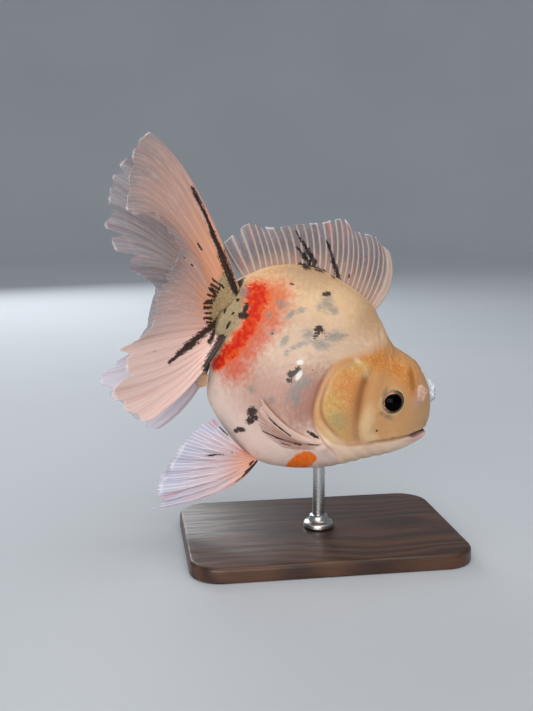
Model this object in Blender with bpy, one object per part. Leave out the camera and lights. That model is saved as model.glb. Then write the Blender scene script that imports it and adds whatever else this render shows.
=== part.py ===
"""Fancy goldfish, a calico oranda, life size, on a plain display stand.

The fish is laid out in its own frame, in millimetres: x runs to the snout, y to its left
side and z to its back, with the origin in the middle of the body. The body is one loft
through a few named stations, parted by thin cuts into head, trunk and tail stem. Fins are
thin fans drawn through guide rays. The whole fish then tips nose down and goes up on the
rod, with the world's origin under the middle of the base.
"""

import bpy
import bmesh
import math
from mathutils import Matrix, Vector

# ---------------------------------------------------------------- driving dimensions (mm)
MM = 0.001
NOSE_DOWN = math.radians(20.0)
BODY_HEIGHT = 72.0            # middle of the body above the underside of the base
GAP = 0.3                     # clearance between neighbouring pieces

BASE_LENGTH, BASE_WIDTH, BASE_THICKNESS = 108.0, 74.0, 6.0
BASE_CORNER, BASE_BEVEL = 12.0, 1.0
ROD_RADIUS = 2.4
ROD_IN_BASE, ROD_IN_BODY = 4.0, 12.0
BELLY_DROP = 42.0             # depth of the belly over the rod, below the body's middle
COLLAR_RADIUS, COLLAR_HEIGHT = 6.0, 5.0
COLLAR_WAIST = ((1.0, 0.5), (0.77, 0.9), (0.63, 1.0))   # share of its radius, of its height

# Stations of the body from tail to snout: x, height of back, height of belly, half width.
BODY_STATIONS = (
    (-45.4, 8.0, 8.0, 0.0),
    (-45.1, 12.0, 3.0, 2.2),
    (-44.0, 15.6, -2.0, 3.6),
    (-42.2, 19.0, -8.5, 5.0),
    (-40.4, 21.4, -16.4, 6.6),
    (-38.0, 23.9, -25.4, 9.0),
    (-31.9, 29.0, -32.0, 13.4),
    (-24.6, 32.3, -37.4, 17.8),
    (-17.0, 34.1, -41.2, 21.2),
    (-9.0, 34.0, -43.2, 23.8),
    (0.0, 32.3, -42.0, 25.2),
    (10.0, 29.0, -39.2, 24.4),
    (16.0, 24.6, -36.6, 22.8),
    (20.5, 20.1, -34.2, 21.2),
    (24.5, 16.9, -31.9, 19.6),
    (29.0, 15.4, -29.3, 17.8),
    (36.0, 12.9, -25.7, 14.8),
    (42.6, 7.8, -21.5, 10.4),
    (46.4, 2.2, -18.2, 7.0),
    (49.1, -4.4, -15.5, 4.3),
    (50.4, -8.6, -12.8, 2.2),
    (50.8, -10.8, -10.8, 0.0),
)
WIDEST = 0.46                 # height of the widest line, as a share of the depth
BACK_POWER, BELLY_POWER = 2.05, 2.3     # roundness of the sections above and below it
CROWN_POWER = 0.75            # how much flatter the crown of the head is than the back
CROWN_FROM, CROWN_TO = 14.0, 32.0
RING_POINTS = 36              # facets round the body ...
COVER_POINTS = 20             # ... a gill cover ...
TURNED_POINTS = 16            # ... the rod and the collar

# Rings of each part of the body, as shares of the way along it.
HEAD_RINGS = (0.0, 0.13, 0.27, 0.41, 0.54, 0.66, 0.77, 0.86, 0.92, 0.96, 0.99)
TRUNK_RINGS = (0.0, 0.09, 0.18, 0.28, 0.38, 0.5, 0.62, 0.75, 0.88, 1.0)
STEM_RINGS = (1.0, 0.82, 0.64, 0.47, 0.32, 0.19, 0.09)
HEAD_CAP = (9.0, 0.0, -8.0)   # middle of the hollow rear face of the head

# Rear edge of the head, from the nape round the gill opening to the throat: z, x.
GILL_LINE = (
    (-36.0, 22.5), (-33.0, 18.5), (-28.0, 12.5), (-24.0, 5.4), (-20.0, 0.4), (-14.0, -2.6),
    (-6.0, -3.2), (0.0, -2.6), (5.0, -0.6), (8.0, 2.6), (10.5, 7.0), (14.0, 13.0), (20.0, 21.6),
)
GILL_CUT = 0.6                # width of the cut along x, 0.3 or more across the slant
STEM_CUT_X = -33.0

# Outline of the gill cover in side view: x, z.
COVER_OUTLINE = (
    (13.0, 9.4), (6.4, 8.0), (2.0, 5.2), (-0.7, -0.8), (-1.1, -8.0), (0.8, -14.2),
    (7.0, -18.9), (14.0, -21.6), (19.4, -21.0), (18.0, -14.0), (15.6, -5.0), (15.4, 4.0),
)
COVER_CENTRE = (8.6, -6.2)
COVER_DEPTH, COVER_RISE = 1.2, 0.7      # how deep the plate is sunk, how far its middle swells
COVER_PROUD = 0.1             # height of its rim over the body
ROOM_REACH = 4.0              # how far the cutter of its room stands out of the body
COVER_SHARES = (1.0, 0.72, 0.4)         # rings of the plate, from the rim inward

EYE_CENTRE_X, EYE_CENTRE_Z = 26.5, -2.6
EYE_RADIUS, EYE_STANDS_OUT = 5.2, 2.2
NOSTRIL_X, NOSTRIL_Z = 38.0, 3.4
NOSTRIL_RADIUS = 2.3
SNOUT_TUFT = (46.3, 1.2, 4.4)
SNOUT_TUFT_RADIUS = 1.9
TUFT_TALL, TUFT_LEAN = 2.0, -0.4         # its height, in widths, and how far it leans back

# Side view of the lower jaw's upper and rear edge: x, z.
JAW_LINE = ((58.0, -10.6), (51.4, -11.1), (46.6, -12.3), (42.0, -14.7), (38.4, -16.9))
JAW_REAR = ((38.8, -21.0), (42.0, -28.0), (58.0, -31.0))
CUTTER_REACH = 30.0           # half width of the cutter that parts it, wider than the head

FIN_ROOT, FIN_TIP = 1.3, 0.6  # thickness of every fin at its root and at its edge

# Guide rays of each fin: root, middle and tip of the ray, each as x, y, z.
DORSAL_GUIDES = (
    ((13.4, 0.0, 27.6), (15.2, 0.2, 40.0), (9.8, 0.8, 50.2)),
    ((8.4, 0.0, 30.0), (8.0, -0.5, 44.0), (3.0, -1.0, 53.6)),
    ((2.0, 0.0, 32.2), (0.6, -0.2, 44.0), (-4.6, 0.2, 53.2)),
    ((-4.6, 0.0, 33.6), (-7.0, 0.5, 45.0), (-11.8, 1.4, 55.6)),
    ((-12.0, 0.0, 34.3), (-14.8, 0.4, 43.5), (-19.0, 0.2, 51.2)),
    ((-20.0, 0.0, 33.8), (-23.6, -0.2, 41.6), (-28.4, -1.2, 48.0)),
    ((-28.0, 0.0, 31.4), (-32.0, -0.4, 37.6), (-36.8, -0.4, 42.8)),
    ((-34.6, 0.0, 27.4), (-38.6, 0.0, 34.6), (-43.6, 0.8, 43.0)),
    ((-40.4, 0.0, 22.4), (-44.4, 0.2, 27.6), (-49.4, 1.0, 33.6)),
)
TAIL_RIGHT_UPPER = (
    ((-43.6, -4.0, 21.6), (-70.0, -6.0, 48.6), (-91.0, -9.0, 59.8)),
    ((-44.8, -4.6, 18.4), (-74.6, -9.0, 46.0), (-94.0, -13.0, 53.4)),
    ((-46.0, -5.0, 15.4), (-75.4, -12.0, 37.6), (-91.8, -18.0, 40.6)),
    ((-46.6, -5.4, 12.8), (-72.0, -15.0, 30.8), (-88.4, -22.0, 31.6)),
    ((-46.9, -5.6, 11.0), (-66.4, -14.6, 27.6), (-78.8, -20.0, 32.8)),
    ((-47.0, -5.6, 9.8), (-60.6, -12.6, 22.8), (-68.4, -17.0, 24.0)),
)
TAIL_RIGHT_LOWER = (
    ((-47.0, -5.8, 8.2), (-60.6, -13.0, 16.6), (-68.4, -18.0, 18.8)),
    ((-46.8, -6.0, 5.4), (-59.2, -14.6, 10.2), (-69.8, -22.0, 8.8)),
    ((-46.4, -6.4, 2.8), (-57.6, -16.6, 1.2), (-68.8, -26.0, -3.4)),
    ((-45.8, -6.6, -0.4), (-60.0, -19.0, -5.4), (-76.8, -31.0, -13.8)),
    ((-44.7, -7.2, -2.4), (-57.6, -19.0, -12.0), (-72.4, -30.0, -20.2)),
    ((-43.4, -7.6, -3.0), (-56.1, -19.8, -18.0), (-74.7, -32.0, -28.1)),
    ((-41.9, -7.9, -2.4), (-50.7, -18.6, -19.6), (-63.6, -31.0, -35.0)),
    ((-40.3, -8.0, -1.0), (-46.0, -16.6, -16.7), (-56.9, -29.6, -32.3)),
)
TAIL_LEFT_UPPER = (
    ((-43.6, 3.4, 21.6), (-69.0, 4.4, 47.8), (-91.4, 6.0, 59.2)),
    ((-44.8, 4.0, 18.4), (-73.4, 6.4, 42.6), (-95.6, 9.0, 49.4)),
    ((-46.0, 4.6, 15.4), (-75.6, 8.0, 32.4), (-98.2, 11.0, 39.8)),
    ((-46.6, 5.0, 12.8), (-73.6, 8.6, 26.6), (-96.0, 12.0, 31.0)),
    ((-46.9, 5.2, 11.0), (-71.0, 9.0, 21.6), (-94.8, 13.0, 23.2)),
    ((-47.0, 5.2, 9.8), (-66.6, 9.0, 16.4), (-83.6, 12.6, 11.6)),
)
TAIL_LEFT_LOWER = (
    ((-47.0, 5.4, 8.2), (-62.6, 9.4, 11.8), (-75.0, 12.6, 9.2)),
    ((-46.8, 5.6, 5.4), (-59.4, 9.6, 6.0), (-69.4, 12.4, 3.6)),
    ((-46.2, 5.8, 1.4), (-57.0, 10.4, -6.6), (-69.2, 15.0, -17.2)),
    ((-45.4, 6.4, -1.4), (-58.0, 11.6, -15.4), (-75.4, 17.0, -28.0)),
    ((-44.4, 7.0, -2.8), (-57.0, 12.6, -21.2), (-77.0, 18.0, -36.6)),
    ((-43.2, 7.4, -3.2), (-53.0, 13.0, -25.4), (-66.6, 18.0, -42.8)),
    ((-41.8, 7.7, -2.6), (-45.4, 13.4, -27.2), (-56.0, 17.0, -48.7)),
    ((-40.3, 8.0, -1.2), (-39.8, 14.4, -26.8), (-49.2, 16.0, -47.1)),
)
PELVIC_GUIDES = (
    ((-12.4, -8.0, -42.9), (-23.6, -13.0, -57.6), (-45.2, -16.0, -69.8)),
    ((-13.4, -8.1, -42.7), (-26.2, -14.0, -54.8), (-44.2, -17.6, -66.2)),
    ((-14.4, -8.2, -42.4), (-28.2, -14.4, -52.0), (-45.6, -18.0, -59.8)),
    ((-15.4, -8.3, -41.9), (-28.8, -14.4, -47.8), (-44.4, -18.0, -53.4)),
    ((-16.4, -8.4, -41.3), (-28.6, -14.0, -43.6), (-43.0, -17.0, -45.2)),
    ((-17.3, -8.5, -40.7), (-27.6, -13.2, -39.2), (-41.4, -15.4, -36.8)),
    ((-18.1, -8.6, -40.0), (-25.8, -12.2, -35.6), (-35.4, -13.6, -30.0)),
)
PELVIC_LEFT_TURN = math.radians(-15.0)   # the left one hangs lower than the right ...
PELVIC_LEFT_FOLD = 0.55                  # ... and is folded by this share of its spread
ANAL_GUIDES = (
    ((-39.9, -3.4, -23.4), (-41.9, -3.8, -24.6), (-45.0, -4.2, -25.4)),
    ((-40.8, -3.4, -20.0), (-43.4, -3.8, -21.0), (-47.0, -4.2, -21.6)),
    ((-41.4, -3.4, -17.0), (-43.8, -3.6, -17.8), (-46.6, -4.0, -18.0)),
)
# The pectoral fins lie back along the flank: x, z of each point, lifted off the body.
PECTORAL_GUIDES = (
    ((7.6, -24.2), (-6.6, -21.6), (-22.0, -16.6)),
    ((7.0, -25.6), (-7.4, -24.4), (-21.2, -21.6)),
    ((6.6, -27.0), (-6.4, -27.0), (-17.6, -27.6)),
    ((6.8, -28.4), (-2.4, -29.2), (-9.0, -31.2)),
)
PECTORAL_LIFT = (1.2, 1.8, 3.0)

COLOURS = {
    "head": (0.78, 0.50, 0.27), "gill_cover": (0.80, 0.56, 0.26), "jaw": (0.80, 0.56, 0.40),
    "trunk": (0.84, 0.68, 0.60), "tail_stem": (0.82, 0.36, 0.16), "eye": (0.03, 0.02, 0.02),
    "nostril": (0.86, 0.72, 0.68), "fin": (0.72, 0.56, 0.54), "tail_fin": (0.80, 0.54, 0.44),
    "wood": (0.10, 0.05, 0.03), "steel": (0.62, 0.62, 0.60),
}


# ---------------------------------------------------------------- curves and the body's surface
def through(values, position):
    """Smooth curve (Catmull-Rom) through a list of tuples, at a position counted in steps."""
    last = len(values) - 1
    step = min(max(int(position), 0), last - 1)
    share = position - step
    before = values[max(step - 1, 0)]
    start, end = values[step], values[step + 1]
    after = values[min(step + 2, last)]
    result = []
    for p0, p1, p2, p3 in zip(before, start, end, after):
        bend = 2 * p0 - 5 * p1 + 4 * p2 - p3
        twist = 3 * (p1 - p2) + p3 - p0
        result.append(0.5 * (2 * p1 + share * (p2 - p0 + share * (bend + share * twist))))
    return result


def on_line(table, key):
    """Value of a table of (key, value) pairs at a key between two of its entries."""
    for (key0, value0), (key1, value1) in zip(table, table[1:]):
        if key <= key1:
            share = max((key - key0) / (key1 - key0), 0.0)
            return value0 + share * (value1 - value0)
    return table[-1][1]


LAST_STATION = len(BODY_STATIONS) - 1


def section(station, above):
    """Section of the body: x, half width, widest level, reach from it and roundness."""
    x, back, belly, half = through(BODY_STATIONS, station)
    level = belly + WIDEST * (back - belly)
    if not above:
        return x, max(half, 0.0), level, level - belly, BELLY_POWER
    crown = min(max((x - CROWN_FROM) / (CROWN_TO - CROWN_FROM), 0.0), 1.0)
    crown = crown * crown * (3 - 2 * crown)
    return x, max(half, 0.0), level, back - level, BACK_POWER + CROWN_POWER * crown


def body_point(station, angle):
    """Point of the body's surface at a station, at an angle from the left side upward."""
    above = math.sin(angle) >= 0
    x, half, level, reach, power = section(station, above)
    if not above:
        reach = -reach
    across = math.copysign(abs(math.cos(angle)) ** (2 / power), math.cos(angle))
    return Vector((x, half * across, level + reach * abs(math.sin(angle)) ** (2 / power)))


def halve(wanted, low, high):
    """Root of a rising function between low and high, by halving the interval."""
    for _ in range(40):
        middle = 0.5 * (low + high)
        if wanted(middle) > 0:
            high = middle
        else:
            low = middle
    return 0.5 * (low + high)


def station_at(x):
    """Station whose section stands at x."""
    return halve(lambda s: through(BODY_STATIONS, s)[0] - x, 0.0, LAST_STATION)


def flank(x, z):
    """Half width of the body at x and height z."""
    station = station_at(x)
    level = section(station, True)[2]
    _, half, level, reach, power = section(station, z >= level)
    share = min(abs(z - level) / reach, 1.0)
    return half * (1 - share ** power) ** (1 / power)


def angles():
    """Angles round one section."""
    return [2 * math.pi * index / RING_POINTS for index in range(RING_POINTS)]


def gill_station(angle, shift):
    """Station where the line at this angle crosses the head's rear edge, shifted along x."""
    def past_the_edge(station):
        point = body_point(station, angle)
        return point.x - on_line(GILL_LINE, point.z) - shift
    return halve(past_the_edge, 4.0, LAST_STATION - 1.0)


# ---------------------------------------------------------------- objects
def material(kind):
    """Principled material of one kind, made once."""
    found = bpy.data.materials.get(kind)
    if found:
        return found
    made = bpy.data.materials.new(kind)
    made.use_nodes = True
    shader = made.node_tree.nodes["Principled BSDF"]
    shader.inputs["Base Color"].default_value = (*COLOURS[kind], 1.0)
    shader.inputs["Roughness"].default_value = 0.12 if kind == "eye" else 0.38
    shader.inputs["Metallic"].default_value = 1.0 if kind == "steel" else 0.0
    return made


def solid(name, points, faces, kind, placed=True):
    """Mesh object from points in millimetres, with its faces turned outward."""
    mesh = bpy.data.meshes.new(name)
    shape = bmesh.new()
    corners = [shape.verts.new(Vector(point) * MM) for point in points]
    for face in faces:
        shape.faces.new([corners[index] for index in face])
    bmesh.ops.recalc_face_normals(shape, faces=shape.faces)
    shape.to_mesh(mesh)
    shape.free()
    mesh.shade_smooth()
    mesh.set_sharp_from_angle(angle=math.radians(50))
    mesh.materials.append(material(kind))
    made = bpy.data.objects.new(name, mesh)
    bpy.context.scene.collection.objects.link(made)
    if placed:
        made.parent = FISH
    return made


def loft(name, rings, kind, placed=True):
    """Closed solid through rings of equal length; an end of one point is a pole."""
    points, faces, starts = [], [], []
    for ring in rings:
        starts.append(len(points))
        points.extend(ring)
    for index in range(len(rings) - 1):
        here, there = rings[index], rings[index + 1]
        count = max(len(here), len(there))
        for k in range(count):
            after = (k + 1) % count
            if len(here) == 1:
                faces.append((starts[index], starts[index + 1] + k, starts[index + 1] + after))
            elif len(there) == 1:
                faces.append((starts[index] + k, starts[index] + after, starts[index + 1]))
            else:
                faces.append((starts[index] + k, starts[index] + after,
                              starts[index + 1] + after, starts[index + 1] + k))
    return solid(name, points, faces, kind, placed)


def fan(name, guides, kind, rows=14, steps=6, thickness=(FIN_ROOT, FIN_TIP)):
    """Thin closed fin through its guide rays, thickest along its root."""
    columns = []
    for row in range(rows + 1):
        position = (len(guides) - 1) * row / rows
        root = Vector(through([ray[0] for ray in guides], position))
        middle = Vector(through([ray[1] for ray in guides], position))
        tip = Vector(through([ray[2] for ray in guides], position))
        column = []
        for step in range(steps + 1):
            s = step / steps
            column.append(root * (1 - s) * (1 - 2 * s) + middle * 4 * s * (1 - s)
                          + tip * s * (2 * s - 1))
        columns.append(column)
    points = []
    for side in (0.5, -0.5):
        for row, column in enumerate(columns):
            for step, point in enumerate(column):
                along = column[min(step + 1, steps)] - column[max(step - 1, 0)]
                across = columns[min(row + 1, rows)][step] - columns[max(row - 1, 0)][step]
                width = thickness[0] + (thickness[1] - thickness[0]) * step / steps
                points.append(point + along.cross(across).normalized() * side * width)
    faces = []
    other = (rows + 1) * (steps + 1)

    def corner(row, step):
        return row * (steps + 1) + step

    for row in range(rows):
        for step in range(steps):
            quad = (corner(row, step), corner(row + 1, step),
                    corner(row + 1, step + 1), corner(row, step + 1))
            faces.append(quad)
            faces.append(tuple(other + index for index in reversed(quad)))
    rim = [corner(row, 0) for row in range(rows)]
    rim += [corner(rows, step) for step in range(steps)]
    rim += [corner(row, steps) for row in range(rows, 0, -1)]
    rim += [corner(0, step) for step in range(steps, 0, -1)]
    for here, there in zip(rim, rim[1:] + rim[:1]):
        faces.append((here, there, other + there, other + here))
    return solid(name, points, faces, kind)


def ball(name, centre, radius, kind, around=16, lobes=0.0, tall=1.0, lean=0.0):
    """Sphere of rings about its own y axis, with soft lobes, made tall or leaning if wanted."""
    rings = [[centre + Vector((0, -radius, 0))]]
    for ring in range(1, around // 2):
        polar = math.pi * ring / (around // 2)
        points = []
        for index in range(around):
            turn = 2 * math.pi * index / around
            wide = radius * math.sin(polar) * (1 + lobes * math.cos(5 * turn))
            height = tall * wide * math.sin(turn)
            points.append(centre + Vector((wide * math.cos(turn) + lean * height,
                                           -radius * math.cos(polar), height)))
        rings.append(points)
    rings.append([centre + Vector((0, radius, 0))])
    return loft(name, rings, kind)


def prism(name, outline):
    """Cutter with an outline in side view, reaching past the body to both sides."""
    sides = [[Vector((x, y, z)) for x, z in outline] for y in (-CUTTER_REACH, CUTTER_REACH)]
    count = len(outline)
    faces = [tuple(range(count)), tuple(range(count, 2 * count))]
    for k in range(count):
        after = (k + 1) % count
        faces.append((k, after, count + after, count + k))
    return solid(name, sides[0] + sides[1], faces, "jaw")


def boolean(target, cutter, operation="DIFFERENCE"):
    """Exact Boolean with a cutter that isn't part of the model."""
    cutter.hide_render = True
    cutter.display_type = "WIRE"
    step = target.modifiers.new(cutter.name, "BOOLEAN")
    step.operation = operation
    step.solver = "EXACT"
    step.object = cutter


def mirrored(guides, turn=0.0, fold=0.0):
    """Guide rays of the other side's fin, folded towards its first ray and turned about it."""
    first = [Vector(point) for point in guides[0]]
    spin = Matrix.Rotation(turn, 3, "Y")
    result = []
    for ray in guides:
        root = Vector(ray[0])
        points = []
        for point, leader in zip(ray, first):
            folded = (Vector(point) - root).lerp(leader - first[0], fold)
            turned = root + spin @ folded
            points.append((turned.x, -turned.y, turned.z))
        result.append(points)
    return result


# ---------------------------------------------------------------- head, trunk and tail stem
def head_rings():
    """Rings of the head, from its curved rear edge to the snout."""
    rings = [[Vector(HEAD_CAP)]]
    edges = [gill_station(angle, 0.0) for angle in angles()]
    for share in HEAD_RINGS:
        rings.append([body_point(edge + share * (LAST_STATION - edge), angle)
                      for edge, angle in zip(edges, angles())])
    rings.append([body_point(LAST_STATION, 0.0)])
    return rings


def make_lower_jaw():
    """Lower jaw, a slice of the head under the line of the mouth."""
    jaw = loft("lower_jaw", head_rings(), "jaw")
    boolean(jaw, prism("jaw_slice", JAW_LINE + JAW_REAR), "INTERSECT")


def make_head():
    """Head with room for the eyes, gill covers, nostril flaps and lower jaw."""
    head = loft("head", head_rings(), "head")
    grown = [(x - GAP, z + GAP) for x, z in JAW_LINE]
    grown += [(x - GAP, z - GAP) for x, z in JAW_REAR]
    boolean(head, prism("jaw_room", grown))
    boolean(head, ball("tuft_room", Vector(SNOUT_TUFT), SNOUT_TUFT_RADIUS + GAP, "nostril",
                       tall=TUFT_TALL, lean=TUFT_LEAN))
    for side, sign in (("right", -1), ("left", 1)):
        boolean(head, ball("eye_room_" + side, eye_centre(sign), EYE_RADIUS + GAP, "eye"))
        boolean(head, ball("nostril_room_" + side, nostril_centre(sign),
                           NOSTRIL_RADIUS + GAP, "nostril"))
        boolean(head, gill_cover("cover_room_" + side, sign, GAP))


def eye_centre(sign):
    """Centre of one eyeball, set so deep that it stands out by its share only."""
    out = flank(EYE_CENTRE_X, EYE_CENTRE_Z) + EYE_STANDS_OUT - EYE_RADIUS
    return Vector((EYE_CENTRE_X, sign * out, EYE_CENTRE_Z))


def nostril_centre(sign):
    """Centre of one nostril flap, half sunk in the snout."""
    return Vector((NOSTRIL_X, sign * flank(NOSTRIL_X, NOSTRIL_Z), NOSTRIL_Z))


def gill_cover(name, sign, grown):
    """Plate over one gill, thickest in the middle; grown by a clearance it is the room."""
    centre = Vector(COVER_CENTRE)
    proud = ROOM_REACH if grown else COVER_PROUD
    inner, outer = [], []
    count = len(COVER_OUTLINE)
    for index in range(COVER_POINTS):
        position = 1 + count * index / COVER_POINTS
        x, z = through(COVER_OUTLINE + COVER_OUTLINE[:3], position)
        offset = Vector((x, z)) - centre
        reach = offset * (1 + grown / offset.length)
        inner.append([])
        outer.append([])
        for share in COVER_SHARES:
            px, pz = centre + reach * share
            rise = COVER_RISE * (1 - share ** 2) + proud
            inner[-1].append(Vector((px, sign * (flank(px, pz) - COVER_DEPTH - grown), pz)))
            outer[-1].append(Vector((px, sign * (flank(px, pz) + rise), pz)))
    width = flank(*centre)
    rings = [[Vector((centre.x, sign * (width - COVER_DEPTH - grown), centre.y))]]
    rings += [[ray[level] for ray in inner] for level in (2, 1, 0)]
    rings += [[ray[level] for ray in outer] for level in (0, 1, 2)]
    rings.append([Vector((centre.x, sign * (width + COVER_RISE + proud), centre.y))])
    return loft(name, rings, "gill_cover")


def make_trunk():
    """Trunk from the gill opening back to the tail stem, with the rod's socket."""
    rings = [[Vector(HEAD_CAP) - Vector((GILL_CUT, 0.0, 0.0))]]
    stem = station_at(STEM_CUT_X)
    edges = [gill_station(angle, -GILL_CUT) for angle in angles()]
    for share in TRUNK_RINGS:
        rings.append([body_point(edge + share * (stem - edge), angle)
                      for edge, angle in zip(edges, angles())])
    x, back, belly, _ = through(BODY_STATIONS, stem)
    rings.append([Vector((x, 0.0, belly + WIDEST * (back - belly)))])
    trunk = loft("trunk", rings, "trunk")
    boolean(trunk, rod("socket", ROD_RADIUS + GAP, rod_top() - 3 * ROD_IN_BODY, rod_top() + GAP))


def make_tail_stem():
    """Tail stem, the short deep root of the tail."""
    stem = station_at(STEM_CUT_X - GAP)
    x, back, belly, _ = through(BODY_STATIONS, stem)
    rings = [[Vector((x, 0.0, belly + WIDEST * (back - belly)))]]
    for share in STEM_RINGS:
        rings.append([body_point(stem * share, angle) for angle in angles()])
    rings.append([body_point(0.0, 0.0)])
    loft("tail_stem", rings, "tail_stem")


# ---------------------------------------------------------------- fins
def make_pectoral(name, sign):
    """Pectoral fin, folded back along the flank."""
    guides = []
    for ray in PECTORAL_GUIDES:
        guides.append([(x, sign * (flank(x, z) + lift), z)
                       for (x, z), lift in zip(ray, PECTORAL_LIFT)])
    return fan(name, guides, "fin", rows=10)


def make_fins():
    """Every fin, each side in nodes of its own."""
    fan("dorsal_fin", DORSAL_GUIDES, "fin", rows=24)
    fan("tail_fin_right_upper", TAIL_RIGHT_UPPER, "tail_fin", rows=14, steps=7)
    fan("tail_fin_right_lower", TAIL_RIGHT_LOWER, "tail_fin", rows=16, steps=6)
    fan("tail_fin_left_upper", TAIL_LEFT_UPPER, "tail_fin", rows=14, steps=7)
    fan("tail_fin_left_lower", TAIL_LEFT_LOWER, "tail_fin", rows=16, steps=6)
    fan("pelvic_fin_right", PELVIC_GUIDES, "fin", rows=16)
    fan("pelvic_fin_left", mirrored(PELVIC_GUIDES, PELVIC_LEFT_TURN, PELVIC_LEFT_FOLD),
        "fin", rows=14)
    fan("anal_fin_right", ANAL_GUIDES, "fin", rows=8, steps=4)
    fan("anal_fin_left", mirrored(ANAL_GUIDES), "fin", rows=8, steps=4)
    make_pectoral("pectoral_fin_right", -1)
    make_pectoral("pectoral_fin_left", 1)


# ---------------------------------------------------------------- stand, upright in the world
def rod_top():
    """Height of the rod's upper end above the underside of the base."""
    foot = fish_matrix().inverted() @ Vector((0.0, 0.0, BODY_HEIGHT - BELLY_DROP))
    belly = through(BODY_STATIONS, station_at(foot.x))[2]
    return (fish_matrix() @ Vector((foot.x, 0.0, belly))).z + ROD_IN_BODY


def fish_matrix():
    """Placement of the fish's frame in the world, in millimetres."""
    return Matrix.Translation((0.0, 0.0, BODY_HEIGHT)) @ Matrix.Rotation(NOSE_DOWN, 4, "Y")


def turns():
    """Angles round a turned piece."""
    return [2 * math.pi * index / TURNED_POINTS for index in range(TURNED_POINTS)]


def rod(name, radius, bottom, top, kind="steel"):
    """Upright cylinder on the world's z axis."""
    rings = [[Vector((0.0, 0.0, bottom))]]
    for height in (bottom, top):
        rings.append([Vector((radius * math.cos(turn), radius * math.sin(turn), height))
                      for turn in turns()])
    rings.append([Vector((0.0, 0.0, top))])
    return loft(name, rings, kind, placed=False)


def rounded_rectangle(length, width, corner, height):
    """Ring of points round a rectangle with round corners."""
    ring = []
    for quarter, (right, up) in enumerate(((1, 1), (-1, 1), (-1, -1), (1, -1))):
        middle = Vector((right * (length / 2 - corner), up * (width / 2 - corner)))
        for step in range(6):
            turn = math.pi / 2 * (quarter + step / 5)
            ring.append(Vector((middle.x + corner * math.cos(turn),
                                middle.y + corner * math.sin(turn), height)))
    return ring


def make_stand():
    """Flat base with a blind hole, a rod up to the belly and a collar at its foot."""
    low = rounded_rectangle(BASE_LENGTH, BASE_WIDTH, BASE_CORNER, 0.0)
    high = rounded_rectangle(BASE_LENGTH, BASE_WIDTH, BASE_CORNER, BASE_THICKNESS - BASE_BEVEL)
    top = rounded_rectangle(BASE_LENGTH - 2 * BASE_BEVEL, BASE_WIDTH - 2 * BASE_BEVEL,
                            BASE_CORNER - BASE_BEVEL, BASE_THICKNESS)
    rings = [[Vector((0.0, 0.0, 0.0))], low, high, top, [Vector((0.0, 0.0, BASE_THICKNESS))]]
    base = loft("stand_base", rings, "wood", placed=False)
    hole = BASE_THICKNESS - ROD_IN_BASE
    boolean(base, rod("rod_hole", ROD_RADIUS + GAP, hole, 2 * BASE_THICKNESS))
    rod("stand_rod", ROD_RADIUS, hole + GAP, rod_top())
    foot = BASE_THICKNESS + GAP
    profile = [(ROD_RADIUS + GAP, foot), (COLLAR_RADIUS, foot)]
    profile += [(COLLAR_RADIUS * wide, foot + COLLAR_HEIGHT * high) for wide, high in COLLAR_WAIST]
    profile.append((ROD_RADIUS + GAP, foot + COLLAR_HEIGHT))
    points, faces = [], []
    for turn in turns():
        points += [(r * math.cos(turn), r * math.sin(turn), z) for r, z in profile]
    count = len(profile)
    for turn in range(TURNED_POINTS):
        for k in range(count):
            after, ahead = (k + 1) % count, (turn + 1) % TURNED_POINTS
            faces.append((turn * count + k, turn * count + after,
                          ahead * count + after, ahead * count + k))
    solid("stand_collar", points, faces, "steel", placed=False)


# ---------------------------------------------------------------- the model
for leftover in list(bpy.data.objects):
    bpy.data.objects.remove(leftover, do_unlink=True)

FISH = bpy.data.objects.new("fish", None)
bpy.context.scene.collection.objects.link(FISH)
FISH.location = (0.0, 0.0, BODY_HEIGHT * MM)
FISH.rotation_euler = (0.0, NOSE_DOWN, 0.0)

make_head()
make_lower_jaw()
make_trunk()
make_tail_stem()
for label, direction in (("right", -1), ("left", 1)):
    ball("eye_" + label, eye_centre(direction), EYE_RADIUS, "eye")
    ball("nostril_flap_" + label, nostril_centre(direction), NOSTRIL_RADIUS * 0.9, "nostril",
         around=10, lobes=0.1)
    gill_cover("gill_cover_" + label, direction, 0.0)
ball("snout_tuft", Vector(SNOUT_TUFT), SNOUT_TUFT_RADIUS * 0.9, "nostril",
     around=10, lobes=0.1, tall=TUFT_TALL, lean=TUFT_LEAN)
make_fins()
make_stand()
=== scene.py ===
# %% [markdown]
# # A fancy goldfish in its swimming pose
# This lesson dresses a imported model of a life-size goldfish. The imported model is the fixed
# frame: it says where every part is, and nothing here moves it. The flesh gets one fine skin,
# thin scales over that skin, fins with real rays, wet eyes and a small display stand.
# Sizes are in millimetres in the fish's own frame, because that is how a maker measures a
# fish, and one function takes them to the world's metres.

import math

import bpy
import numpy as np
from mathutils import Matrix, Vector, noise


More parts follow.
